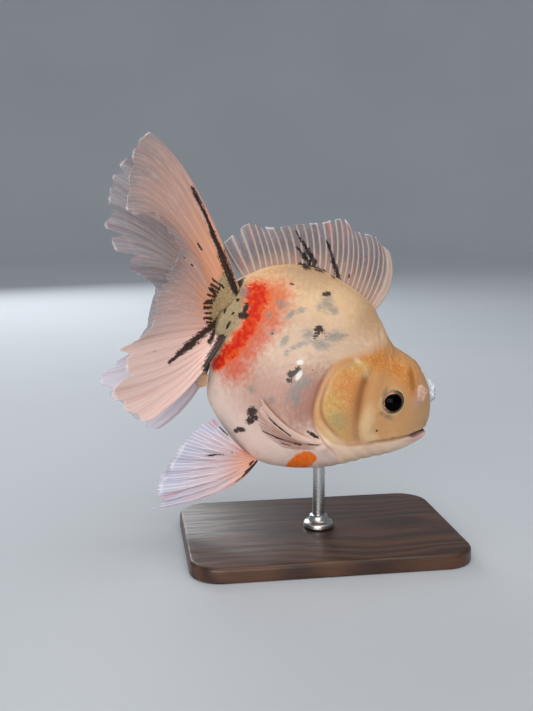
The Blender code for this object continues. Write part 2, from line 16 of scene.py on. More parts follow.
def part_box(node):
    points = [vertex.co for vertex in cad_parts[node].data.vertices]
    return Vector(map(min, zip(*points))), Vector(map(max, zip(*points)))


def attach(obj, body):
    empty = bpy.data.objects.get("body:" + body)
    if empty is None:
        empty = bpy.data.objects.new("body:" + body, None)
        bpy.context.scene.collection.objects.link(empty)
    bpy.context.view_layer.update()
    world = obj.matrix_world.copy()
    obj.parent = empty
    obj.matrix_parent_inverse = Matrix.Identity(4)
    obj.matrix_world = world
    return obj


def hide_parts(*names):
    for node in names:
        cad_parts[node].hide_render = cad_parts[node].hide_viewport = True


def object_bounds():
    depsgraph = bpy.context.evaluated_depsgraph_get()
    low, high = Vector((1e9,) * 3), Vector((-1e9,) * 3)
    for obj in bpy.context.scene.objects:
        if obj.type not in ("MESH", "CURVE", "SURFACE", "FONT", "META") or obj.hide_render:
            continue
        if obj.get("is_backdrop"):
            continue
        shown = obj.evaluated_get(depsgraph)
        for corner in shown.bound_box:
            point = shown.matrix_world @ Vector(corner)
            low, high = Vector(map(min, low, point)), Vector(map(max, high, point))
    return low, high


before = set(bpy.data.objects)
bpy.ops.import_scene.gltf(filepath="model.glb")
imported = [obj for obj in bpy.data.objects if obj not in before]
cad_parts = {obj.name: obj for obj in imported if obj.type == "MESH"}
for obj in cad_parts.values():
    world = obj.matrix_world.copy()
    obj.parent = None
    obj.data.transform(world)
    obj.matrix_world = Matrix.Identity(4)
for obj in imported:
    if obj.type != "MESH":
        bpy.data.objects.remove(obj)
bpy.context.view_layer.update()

# %% [markdown]
# ## The camera
# The fish shows its right flank, seen a little from the tail's side and from slightly above.
# A camera on that side, turned 9 degrees and raised 10 degrees, gives that view. It comes
# first so that every later step can be judged in it. The lens is a mild telephoto, which
# keeps the body's proportions, and depth of field stays off so that the whole fish is sharp.

# %% Camera
VIEW_TURN, VIEW_RISE = math.radians(-9.0), math.radians(10.0)
CAMERA_PLACE = Vector((-0.0769, -0.3521, 0.1392))
LENS, NEAREST, FARTHEST = 47.5, 0.01, 30.0

camera = bpy.data.objects.new("camera", bpy.data.cameras.new("camera"))
bpy.context.scene.collection.objects.link(camera)
bpy.context.scene.camera = camera
camera.data.lens = LENS
camera.data.clip_start, camera.data.clip_end = NEAREST, FARTHEST
towards_camera = Vector((math.sin(VIEW_TURN) * math.cos(VIEW_RISE),
                         -math.cos(VIEW_TURN) * math.cos(VIEW_RISE), math.sin(VIEW_RISE)))
camera.location = CAMERA_PLACE
camera.rotation_mode = "QUATERNION"
camera.rotation_quaternion = towards_camera.to_track_quat("Z", "Y")
print("camera at", tuple(CAMERA_PLACE), "lens", LENS)

# %% [markdown]
# ## Short words for shader nodes
# Every finish below is a network of nodes. Written out in full, each node takes four or five
# lines, so these helpers make a node, set its values and link its inputs in one call. Colours
# are given as a paint chart does, 0 to 255, and are turned into the linear values that
# Blender works with.

# %% Node helpers
def paint(red, green, blue):
    """Linear colour of a paint chart's 0 to 255 values."""
    return (*[(value / 255) ** 2.2 for value in (red, green, blue)], 1.0)


def add(tree, kind, inputs=None, **settings):
    """New shader node; each input takes a plain value or another node's socket."""
    node = tree.nodes.new("ShaderNode" + kind)
    for name, value in settings.items():
        setattr(node, name, value)
    for name, value in (inputs or {}).items():
        if isinstance(value, bpy.types.NodeSocket):
            tree.links.new(value, node.inputs[name])
        else:
            node.inputs[name].default_value = value
    return node


def maths(tree, operation, first, second=0.0, third=0.0):
    """Result of a Math node."""
    node = add(tree, "Math", {0: first, 1: second, 2: third}, operation=operation)
    return node.outputs[0]


def times(tree, first, second):
    """Product of two values."""
    return maths(tree, "MULTIPLY", first, second)


def uneven(tree, value, grain, amount):
    """A value pushed up and down by noise."""
    return maths(tree, "MULTIPLY_ADD", maths(tree, "SUBTRACT", grain, 0.5), amount, value)


def ramp(tree, value, low, high, start=0.0, end=1.0):
    """Smooth rise from start to end while a value goes from low to high."""
    node = add(tree, "MapRange", {"Value": value, "From Min": low, "From Max": high,
                                  "To Min": start, "To Max": end}, interpolation_type="SMOOTHSTEP")
    return node.outputs["Result"]


def blend_colour(tree, share, first, second):
    """Colour between two by a share from 0 to 1; each is a socket or a paint's three values."""
    first, second = (paint(*c) if isinstance(c, tuple) else c for c in (first, second))
    node = add(tree, "Mix", {"Factor": share, 6: first, 7: second}, data_type="RGBA")
    return node.outputs[2]


def grade(tree, value, low, high, first, second):
    """Colour that goes from the first to the second while a value goes from low to high."""
    return blend_colour(tree, ramp(tree, value, low, high), first, second)


def spread(tree, grain, low, high):
    """A value that noise, which mostly runs from 0.3 to 0.7, moves between low and high."""
    return ramp(tree, grain, 0.3, 0.7, low, high)


def cloud(tree, place, scale, detail=2.0, stretch=None):
    """Noise between 0 and 1 at a place; stretch squeezes it along an axis first."""
    if stretch:
        place = add(tree, "Mapping", {"Vector": place, "Scale": stretch}).outputs[0]
    node = add(tree, "TexNoise", {"Vector": place, "Scale": scale, "Detail": detail})
    return node.outputs["Fac"]


print("node helpers ready; middle grey is", round(paint(128, 128, 128)[0], 3), "in linear light")

# %% Groups and materials
def drawn(tree, label):
    """Value that a mesh carries at its points under a name."""
    return add(tree, "Attribute", attribute_name=label).outputs["Fac"]


def new_group(name, inputs, outputs):
    """Empty shader group, its socket names given by kind, with its input and output nodes."""
    group = bpy.data.node_groups.new(name, "ShaderNodeTree")
    for way, kinds in (("INPUT", inputs), ("OUTPUT", outputs)):
        for kind, sockets in kinds.items():
            for socket in sockets:
                group.interface.new_socket(socket, in_out=way, socket_type="NodeSocket" + kind)
    return group, group.nodes.new("NodeGroupInput").outputs, group.nodes.new("NodeGroupOutput").inputs


def new_material(name, constants):
    """Material with its constant values set; also its tree, its shader and the object's place."""
    material = bpy.data.materials.new(name)
    material.use_nodes = True
    tree = material.node_tree
    shader = tree.nodes["Principled BSDF"]
    for socket, value in constants.items():
        shader.inputs[socket].default_value = value
    return material, tree, shader, add(tree, "TexCoord").outputs["Object"]


def dress(shader, colour, roughness=None, coat=None, bump=None):
    """Links a shader's colour, roughness, coat, and a bump of a height, depth and strength."""
    tree = shader.id_data
    for name, socket in (("Base Color", colour), ("Roughness", roughness), ("Coat Weight", coat)):
        if socket is not None:
            tree.links.new(socket, shader.inputs[name])
    if bump is not None:
        height, depth, strength = bump
        node = add(tree, "Bump", {"Height": height, "Distance": depth, "Strength": strength})
        tree.links.new(node.outputs["Normal"], shader.inputs["Normal"])


print("group and material helpers ready")

# %% [markdown]
# ## A plain studio
# The fish should be judged by itself, so the room is only a pale floor that curves up into a
# wall all round, like a studio's cove. A flat floor with a wall behind would show a
# corner in some views; a turned bowl looks the same from every side. Large soft lamps hang
# above it, since the fish lives under light from above, and one low lamp behind makes the
# thin fins glow.

# %% Floor
FLOOR_RADIUS, COVE_RADIUS, WALL_HEIGHT = 1.6, 0.9, 2.4
INNER_RING, COVE_STEPS, FLOOR_TURNS = 0.3, 16, 96

material_floor, tree, shader, place = new_material("studio_floor", {"Roughness": 0.85})
dress(shader, grade(tree, cloud(tree, place, 3.0), 0.3, 0.7, (186, 190, 195), (190, 194, 198)))

profile = [(0.0, 0.0), (INNER_RING, 0.0), (FLOOR_RADIUS, 0.0)]
for step in range(1, COVE_STEPS + 1):
    turn = math.pi / 2 * step / COVE_STEPS
    profile.append((FLOOR_RADIUS + COVE_RADIUS * math.sin(turn), COVE_RADIUS * (1 - math.cos(turn))))
profile.append((FLOOR_RADIUS + COVE_RADIUS, WALL_HEIGHT))
floor_points, floor_faces = [], []
for turn in range(FLOOR_TURNS):
    angle = 2 * math.pi * turn / FLOOR_TURNS
    floor_points += [(out * math.cos(angle), out * math.sin(angle), up) for out, up in profile]
    for k in range(len(profile) - 1):
        here, there = turn * len(profile) + k, (turn + 1) % FLOOR_TURNS * len(profile) + k
        floor_faces.append((here, there, there + 1, here + 1))
floor_mesh = bpy.data.meshes.new("studio_floor")
floor_mesh.from_pydata(floor_points, [], floor_faces)
floor_mesh.shade_smooth()
floor_mesh.materials.append(material_floor)
floor = bpy.data.objects.new("studio_floor", floor_mesh)
bpy.context.scene.collection.objects.link(floor)
floor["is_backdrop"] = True
print("floor of", len(floor_faces), "faces")

# %% Lamps
LAMP_AIM = Vector((0.0, 0.0, 0.07))


def hang_lamp(name, place, size, power, tint):
    """Square soft lamp aimed at the middle of the fish."""
    lamp = bpy.data.lights.new(name, "AREA")
    lamp.size, lamp.energy, lamp.color = size, power, tint
    hung = bpy.data.objects.new(name, lamp)
    bpy.context.scene.collection.objects.link(hung)
    hung.location = place
    hung.rotation_mode = "QUATERNION"
    hung.rotation_quaternion = (Vector(place) - LAMP_AIM).to_track_quat("Z", "Y")


hang_lamp("lamp_above", (0.05, -0.30, 0.95), 0.9, 3.8, (1.0, 0.985, 0.96))
hang_lamp("lamp_front", (-0.35, -1.0, 0.14), 0.9, 12.0, (1.0, 0.99, 0.98))
hang_lamp("lamp_behind", (-0.25, 0.85, 0.45), 0.6, 4.0, (0.95, 0.98, 1.0))
world = bpy.data.worlds.new("studio_air")
bpy.context.scene.world = world
world.use_nodes = True
air = world.node_tree.nodes["Background"].inputs
air["Color"].default_value, air["Strength"].default_value = (0.86, 0.90, 0.95, 1.0), 0.58
bpy.context.scene.view_settings.view_transform = "Standard"
print("lamps:", ", ".join(lamp.name for lamp in bpy.data.lights))

# %% [markdown]
# ## The body's surface
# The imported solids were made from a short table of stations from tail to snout: place, height
# of the back, height of the belly and half width. The same table gives the fine skin, so the
# two can't drift apart. Numpy works out the whole grid of points at once, which is what makes
# a skin of nearly a hundred thousand points quick to build.

# %% Stations and sections
MM = 0.001
NOSE_DOWN = math.radians(20.0)
BODY_HEIGHT = 72.0
BODY_STATIONS = np.array((
    (-45.4, 8, 8, 0), (-45.1, 12, 3, 2.2), (-44, 15.6, -2, 3.6),
    (-42.2, 19, -8.5, 5), (-40.4, 21.4, -16.4, 6.6), (-38, 23.9, -25.4, 9),
    (-31.9, 29, -32, 13.4), (-24.6, 32.3, -37.4, 17.8), (-17, 34.1, -41.2, 21.2),
    (-9, 34, -43.2, 23.8), (0, 32.3, -42, 25.2), (10, 29, -39.2, 24.4),
    (16, 24.6, -36.6, 22.8), (20.5, 20.1, -34.2, 21.2), (24.5, 16.9, -31.9, 19.6),
    (29, 15.4, -29.3, 17.8), (36, 12.9, -25.7, 14.8), (42.6, 7.8, -21.5, 10.4),
    (46.4, 2.2, -18.2, 7), (49.1, -4.4, -15.5, 4.3), (50.4, -8.6, -12.8, 2.2),
    (50.8, -10.8, -10.8, 0)))
WIDEST = 0.46
BACK_POWER, BELLY_POWER = 2.05, 2.3
CROWN_POWER, CROWN_FROM, CROWN_TO = 0.75, 14.0, 32.0
LAST_STATION = len(BODY_STATIONS) - 1
print("body of", len(BODY_STATIONS), "stations,", np.ptp(BODY_STATIONS[:, 0]).round(1), "mm long")

# %% Frames and curves
def to_world(points):
    """Points of the fish's frame, in millimetres, as world points in metres."""
    x, y, z = points[..., 0], points[..., 1], points[..., 2]
    ahead = x * math.cos(NOSE_DOWN) + z * math.sin(NOSE_DOWN)
    up = z * math.cos(NOSE_DOWN) - x * math.sin(NOSE_DOWN) + BODY_HEIGHT
    return np.stack([ahead, y, up], -1) * MM


def to_fish(point):
    """A world point in metres as a point of the fish's frame, in millimetres."""
    ahead, side, up = point[0] / MM, point[1] / MM, point[2] / MM - BODY_HEIGHT
    return np.array((ahead * math.cos(NOSE_DOWN) - up * math.sin(NOSE_DOWN), side,
                     ahead * math.sin(NOSE_DOWN) + up * math.cos(NOSE_DOWN)))


def through(values, position):
    """Smooth curve (Catmull-Rom) through rows of numbers, at positions counted in rows."""
    values, position = np.asarray(values, float), np.asarray(position, float)
    last = len(values) - 1
    step = np.clip(position.astype(int), 0, last - 1)
    share = (position - step)[..., None]
    before, start = values[np.maximum(step - 1, 0)], values[step]
    end, after = values[step + 1], values[np.minimum(step + 2, last)]
    bend = 2 * before - 5 * start + 4 * end - after
    twist = 3 * (start - end) + after - before
    return 0.5 * (2 * start + share * (end - before + share * (bend + share * twist)))


def ease(low, high, value):
    """Smooth step from 0 at low to 1 at high."""
    share = np.clip((value - low) / (high - low), 0.0, 1.0)
    return share * share * (3 - 2 * share)


def window(value, start, full, fade, end):
    """1 from full to fade, easing to 0 at start and at end."""
    return ease(start, full, value) * (1 - ease(fade, end, value))


def hump(offset, width):
    """Round hump, 1 where the offset is 0."""
    return np.exp(-(offset / width) ** 2)


def body_surface(station, angle):
    """Points of the body at stations and angles; 0 is the left side, a quarter turn the back."""
    x, back, belly, half = np.moveaxis(through(BODY_STATIONS, station), -1, 0)
    half = np.maximum(half, 0.0)
    level = belly + WIDEST * (back - belly)
    above = np.sin(angle) >= 0
    power = np.where(above, BACK_POWER + CROWN_POWER * ease(CROWN_FROM, CROWN_TO, x), BELLY_POWER)
    reach = np.where(above, back - level, belly - level)
    across = np.sign(np.cos(angle)) * np.abs(np.cos(angle)) ** (2 / power)
    rise = np.abs(np.sin(angle)) ** (2 / power)
    return np.stack([x + 0 * angle, half * across, level + reach * rise], -1)


def node_middle(node):
    """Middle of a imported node's box, in the fish's frame."""
    return to_fish(sum(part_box(node), Vector()) / 2)


print("right eye in the fish's frame", node_middle("eye_right").round(2))

# %% [markdown]
# ## Rows where they are needed
# A face needs finer rows than a flank. The rows are spread by length along the body, and the
# head's lengths count more, so the same number of points gives the mouth and eyes nearly
# twice the detail. The grid closes round the body, with its seam under the belly.

# %% Skin grid
ROWS, AROUND = 330, 286
PROBE_STATIONS, PROBE_ANGLES = 4001, 12
HEAD_DENSITY = 1.7            # rows in the head for each row of the same length in the trunk
HEAD_FROM, HEAD_TO = 8.0, 24.0
COAT_DEPTH = 0.25             # how far the skin lies inside the flesh, to leave room for the coat


def full_turn(count):
    """Angles of a whole turn, as one row."""
    return np.linspace(0, 2 * math.pi, count, endpoint=False)[None]


def normals_of(points, wrap):
    """Unit normals of a grid, from its neighbours; wrap closes it along its columns."""
    along = np.gradient(points, axis=0)
    if wrap:
        across = np.roll(points, -1, 1) - np.roll(points, 1, 1)
    else:
        across = np.gradient(points, axis=1)
    normal = np.cross(across, along)
    return normal / np.maximum(np.linalg.norm(normal, axis=-1, keepdims=True), 1e-9)


fine = np.linspace(0.0, LAST_STATION, PROBE_STATIONS)
probes = body_surface(fine[:, None], full_turn(PROBE_ANGLES))
lengths = np.linalg.norm(np.diff(probes, axis=0), axis=-1).mean(1)
middles = 0.5 * (probes[1:, 0, 0] + probes[:-1, 0, 0])
lengths *= 1 + (HEAD_DENSITY - 1) * ease(HEAD_FROM, HEAD_TO, middles)
run = np.concatenate([[0.0], np.cumsum(lengths)])
row_station = np.interp(run[-1] * np.arange(1, ROWS + 1) / (ROWS + 1), run, fine)
column_angle = 2 * math.pi * np.arange(AROUND) / AROUND - math.pi / 2
body = body_surface(row_station[:, None], column_angle[None])

outward = normals_of(body, wrap=True)
if outward[ROWS // 2, AROUND // 2, 2] < 0:
    outward = -outward
print("skin grid of", ROWS, "rows and", AROUND, "columns; the crown's normal points up:",
      outward[ROWS // 2, AROUND // 2].round(2))

# %% [markdown]
# ## Relief of the head and body
# On the real fish the face is not a smooth egg. A free-edged cover lies over the gills, a
# crease parts it from the cheek, the skin rises in a soft ring round each eye, and the crown
# carries the low bumps of its growth. Sculpting by hand would work once, but not the same
# way twice, so each feature is a height written as a function of place. They are added up
# and move each point along its own normal.

# %% Lines of the face
# In side view. The gill opening and the cheek's crease are given as z, x and the rest as x, z.
GILL_COVER = ((13, 9.4), (6.4, 8), (2, 5.2), (-0.7, -0.8), (-1.1, -8), (0.8, -14.2),
              (7, -18.9), (14, -21.6), (19.4, -21), (18, -14), (15.6, -5), (15.4, 4))
GILL_OPENING = ((-36, 22.5), (-33, 18.5), (-28, 12.5), (-24, 5.4), (-20, 0.4),
                (-14, -2.6), (-6, -3.2), (0, -2.6), (5, -0.6), (8, 2.6), (10.5, 7),
                (14, 13), (20, 21.6))
CHEEK_CREASE = ((-22, 20.6), (-18, 17.4), (-13, 15.2), (-6, 13.4), (0, 12.6), (5, 13.4), (8, 15))
MOUTH_LINE = ((22, -20.8), (28, -19), (33.6, -17), (38.4, -14.9), (42, -13.1),
              (45.4, -11.8), (48.6, -10.9), (52, -10.4))
THROAT_LINE = ((-6, -13), (-3, -16.2), (0, -18.8), (5, -21.6), (13, -23.4), (22, -21))
MOUTH_CORNER, MOUTH_WIDE = 37.0, 44.0
EYE_X, EYE_Z, EYE_RIM = 26.5, -2.6, 3.7
NOSTRIL_X, NOSTRIL_Z = 39.6, 2.2
print("gill cover from", GILL_COVER[4], "to", GILL_COVER[8], "and mouth from", MOUTH_LINE[0])

# %% Lines in side view
LINE_STEPS = 8                # short straight pieces between two corners of a smooth line


def smooth_line(corners, closed=False):
    """Smooth line through corner points; closed joins its ends."""
    corners = list(corners)
    if closed:
        corners = corners[-1:] + corners + corners[:2]
    count = len(corners) - 1
    first, last = (1, count - 1) if closed else (0, count)
    return through(corners, np.linspace(first, last, (last - first) * LINE_STEPS + 1))


def distance_to(x, z, line):
    """Distance in side view from points to a line."""
    nearest = np.full(np.shape(x), 1e9)
    for (x0, z0), (x1, z1) in zip(line, line[1:]):
        dx, dz = x1 - x0, z1 - z0
        share = np.clip(((x - x0) * dx + (z - z0) * dz) / (dx * dx + dz * dz), 0, 1)
        nearest = np.minimum(nearest, np.hypot(x - x0 - share * dx, z - z0 - share * dz))
    return nearest


def inside(x, z, line):
    """True where a point in side view lies inside a closed line."""
    within = np.zeros(np.shape(x), bool)
    for (x0, z0), (x1, z1) in zip(line, line[1:]):
        if z0 != z1:
            crosses = (z0 > z) != (z1 > z)
            within ^= crosses & (x < x0 + (z - z0) * (x1 - x0) / (z1 - z0))
    return within


def along_line(value, line):
    """The second number of a smooth line's points, where its first is a value."""
    curve = smooth_line(line)
    return np.interp(value, curve[:, 0], curve[:, 1])


def cover_gap(x, z):
    """How far inside the gill cover's rim points lie in side view; below 0 outside it."""
    outline = smooth_line(GILL_COVER, closed=True)
    return distance_to(x, z, outline) * np.where(inside(x, z, outline), 1, -1)


rim_line = smooth_line(GILL_COVER, closed=True)
print("rim of the gill cover", np.linalg.norm(np.diff(rim_line, axis=0), axis=-1).sum().round(1),
      "mm round")

# %% Relief of the face
def bumps(points, size, seed):
    """Smooth noise between -1 and 1 over points, with features of a size in mm."""
    flat = points.reshape(-1, 3) / size + seed
    values = [noise.noise(Vector(point)) for point in flat]
    return np.clip(np.array(values).reshape(points.shape[:-1]) * 1.6, -1, 1)


def face_relief(points):
    """Height of the head's features over the plain surface, in mm, and how deep in a fold, for painted
    shade.
    """
    x, side, z = points[..., 0], np.abs(points[..., 1]), points[..., 2]
    flanks = ease(3.0, 7.0, side)

    # Cover over the gills: swollen in the middle, with a free edge behind and below.
    gap = cover_gap(x, z)
    free = flanks * (1 - ease(7.0, 14.0, x))
    height = free * (0.25 * ease(-0.4, 1.2, gap) + 0.35 * ease(0.5, 6.0, gap))
    height -= free * 0.22 * hump(gap + 0.7, 0.7)
    low_rim = free * (1 - ease(-8.0, 2.0, z))
    fold = (0.25 * free + 0.75 * low_rim) * hump(gap + 0.5, 0.6)

    # Edge of the gill opening, a second and softer fold behind the cover.
    behind = x - along_line(z, GILL_OPENING)
    shut = flanks * window(z, -31.0, -24.0, 3.0, 9.0)
    height += shut * 0.32 * window(behind, -0.3, 1.2, 1.5, 8.0)
    height -= shut * 0.30 * hump(behind + 0.6, 0.7)
    fold += shut * 0.75 * hump(behind + 0.6, 0.8)

    # Wide crease between the cheek and the gill cover, with a full cheek in front of it.
    ahead = x - along_line(z, CHEEK_CREASE)
    crease = flanks * window(z, -24.0, -18.0, 4.0, 8.0)
    height += crease * (-0.50 * hump(ahead, 1.9) + 0.45 * hump(ahead - 4.2, 2.8))
    fold += crease * 0.5 * hump(ahead, 0.5)

    # Ring of skin round the eye, dropping under the eyeball inside it.
    from_eye = np.hypot(x - EYE_X, z - EYE_Z)
    face = ease(8.0, 12.0, side)
    height += face * (0.35 * hump(from_eye - 5.2, 0.9) + 0.25 * hump(from_eye - 6.6, 2.2))
    height -= face * 1.9 * (1 - ease(EYE_RIM - 0.7, EYE_RIM + 0.6, from_eye))
    fold += face * 0.5 * hump(from_eye - EYE_RIM, 0.4)

    # Nostril, a small pit with a raised rim.
    pit = np.hypot(x - NOSTRIL_X, 0.8 * (z - NOSTRIL_Z))
    height += ease(3.0, 5.0, side) * (0.25 * hump(pit - 1.5, 0.6) - 0.9 * hump(pit, 0.8))
    fold += ease(3.0, 5.0, side) * 0.9 * hump(pit, 0.7)

    # Low bumps of the crown's growth, and its soft forehead.
    crown = ease(3.0, 9.0, z) * window(x, 10.0, 17.0, 44.0, 49.0)
    grown = bumps(points, 3.1, 7.0)
    height += crown * (0.16 * (1 - 2 * np.abs(grown)) + 0.10 * bumps(points, 1.3, 3.0))
    height += 0.75 * hump(x - 33.0, 5.5) * ease(7.0, 13.0, z)

    # Soft rays of the throat's membrane under the gill covers.
    throat = ease(-1.0, 3.0, -(z + 21.0)) * window(x, 6.0, 12.0, 34.0, 40.0)
    height += 0.12 * throat * np.sin(1.5 * (z + 0.42 * x))
    return height, fold


face_height, face_fold = face_relief(body)
print("face from", face_height.min().round(2), "to", face_height.max().round(2), "mm")

# %% Relief of the mouth
def mouth_relief(points):
    """Height of the lips, and how far inside the open mouth a point is."""
    x, z = points[..., 0], points[..., 2]
    above = z - along_line(x, MOUTH_LINE)
    front = ease(MOUTH_CORNER, MOUTH_WIDE, x)
    above = above + 0.7 * front * hump(x - 45.4, 4.4)
    half_gap = 0.12 + 1.45 * hump(x - 45.2, 4.9) * front
    inner = (1 - ease(half_gap - 0.3, half_gap + 0.3, np.abs(above))) * ease(38.0, 41.5, x)
    height = -2.4 * inner * ease(38.0, 43.0, x) * (1 - 0.75 * ease(47.0, 50.2, x))
    height += front * (0.42 * hump(above - half_gap - 0.8, 0.7)
                       + 0.30 * hump(above + half_gap + 0.9, 0.8))
    height -= 0.7 * hump(above - 0.1, 1.5) * ease(45.5, 49.5, x)
    height -= 1.3 * hump(above, 4.6) * ease(-0.6, 0.6, above) * ease(44.5, 50.0, x)
    crease = ease(21.0, 26.0, x) * (1 - 0.7 * front)
    height += crease * (-0.50 * hump(above, 0.6) + 0.30 * hump(above - 1.8, 1.4))
    lip_fold = 0.22 * window(x, 41.0, 44.0, 48.5, 50.5)
    height -= lip_fold * hump(above - 3.4, 0.5) * (1 - ease(6.0, 9.0, above))
    return height, inner, crease * 0.7 * hump(above, 0.8)


lip_height, mouth, lip_crease = mouth_relief(body)
print("mouth", -lip_height.min().round(2), "mm deep")

# %% Relief of the body, and the skin's final grid
def body_relief(points):
    """Height of the fins' fleshy roots on the trunk: dorsal, pectoral and pelvic."""
    x, side, z = points[..., 0], np.abs(points[..., 1]), points[..., 2]
    height = 0.8 * hump(side, 1.5) * ease(0.0, 4.0, z - 12.0) * (1 - ease(12.0, 16.0, x))
    shoulder = hump(np.hypot(x - 6.6, 0.8 * (z + 26.4)), 2.6) * ease(5.0, 9.0, side)
    pelvis = hump(np.hypot(x + 14.6, side - 8.4), 3.2) * (1 - ease(-38.0, -32.0, z))
    return height + 0.9 * shoulder + 0.6 * pelvis


height = face_height + lip_height + body_relief(body) + 0.05 * bumps(body, 5.0, 1.0)
skin = body + outward * (height - COAT_DEPTH)[..., None]
fold = np.clip(face_fold + lip_crease, 0, 1)
skin_normal = normals_of(skin, wrap=True)
skin_normal *= np.sign(np.sum(skin_normal * outward, -1, keepdims=True))
print("relief from", height.min().round(2), "to", height.max().round(2), "mm")

# %% [markdown]
# ## From grids to pieces
# Nearly every piece here is a grid of points: round and along a body, or across and along a
# fin. These helpers turn a grid into quads, keep a place on a flat map for each corner, and
# hand the piece to the frame. The mesh holds world places and its object stays at the origin,
# so patterns that read the object's coordinates agree from piece to piece.

# %% Mesh helpers
def corners_of(grid):
    """The four corners of each quad of a grid of rows, as (quads, 4, values)."""
    quads = np.stack([grid[:-1, :-1], grid[:-1, 1:], grid[1:, 1:], grid[1:, :-1]], 2)
    return quads.reshape(-1, 4, grid.shape[-1])


def grid_quads(rows, columns, wrap=False):
    """Vertex indices of the quads of a grid; wrap joins its last column to its first."""
    index = np.arange(rows * columns).reshape(rows, columns)
    if wrap:
        index = np.concatenate([index, index[:, :1]], 1)
    return corners_of(index[..., None])[..., 0]


def closed_rings(rings, turns, flip=False):
    """Faces of a stack of closed rings of points, with a cap at each end."""
    faces = grid_quads(rings, turns, wrap=True).tolist()
    faces += [list(range(turns))[::-1], list(range((rings - 1) * turns, rings * turns))]
    return [face[::-1] for face in faces] if flip else faces


def ball_ways(rings, turns, gap, axis, ahead, upward):
    """Directions over a ball in rings about an axis, and each ring's angle from its pole."""
    polar = np.linspace(gap, math.pi - gap, rings)[:, None, None]
    turn = full_turn(turns)[..., None]
    spokes = np.cos(turn) * np.array(ahead) + np.sin(turn) * np.array(upward)
    return np.cos(polar) * np.array(axis) + np.sin(polar) * spokes, polar


def grid_places(rows, columns):
    """Flat map places of the same corners, from 0 to 1 across the columns and the rows."""
    place = np.stack(np.meshgrid(np.linspace(0, 1, columns), np.linspace(0, 1, rows)), -1)
    return corners_of(place)


def make_piece(name, points, faces, material, places=None, map_name="OFBake", marks=None,
               in_world=False):
    """Smooth piece from points in millimetres, with a flat map and values at its points."""
    flat = np.asarray(points, float).reshape(-1, 3)
    flat = flat * MM if in_world else to_world(flat)
    mesh = bpy.data.meshes.new(name)
    mesh.from_pydata(flat.tolist(), [], faces)
    mesh.shade_smooth()
    mesh.materials.append(material)
    if places is not None:
        layer = mesh.uv_layers.new(name=map_name)
        layer.uv.foreach_set("vector", np.asarray(places, np.float32).ravel())
    for label, values in (marks or {}).items():
        attribute = mesh.attributes.new(label, "FLOAT", "POINT")
        attribute.data.foreach_set("value", np.asarray(values, np.float32).ravel())
    piece = bpy.data.objects.new(name, mesh)
    bpy.context.scene.collection.objects.link(piece)
    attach(piece, "root")
    print(name, "has", len(mesh.vertices), "points and",
          sum(len(face.vertices) - 2 for face in mesh.polygons), "triangles")
    return piece


print("mesh helpers ready")

# %% [markdown]
# ## Colour of the skin
# A calico goldfish is pale, almost without shining scales, and its marks lie at three depths.
# Red lies near the surface and is bright. Black on the surface is sharp, and black deeper
# down looks like blue-grey cloud. A painter would lay them in that order from the deepest up,
# and the group below does the same with soft and ragged ovals in side view. It is one group,
# used by the skin and by the scales, so both carry the same marks at the same place.

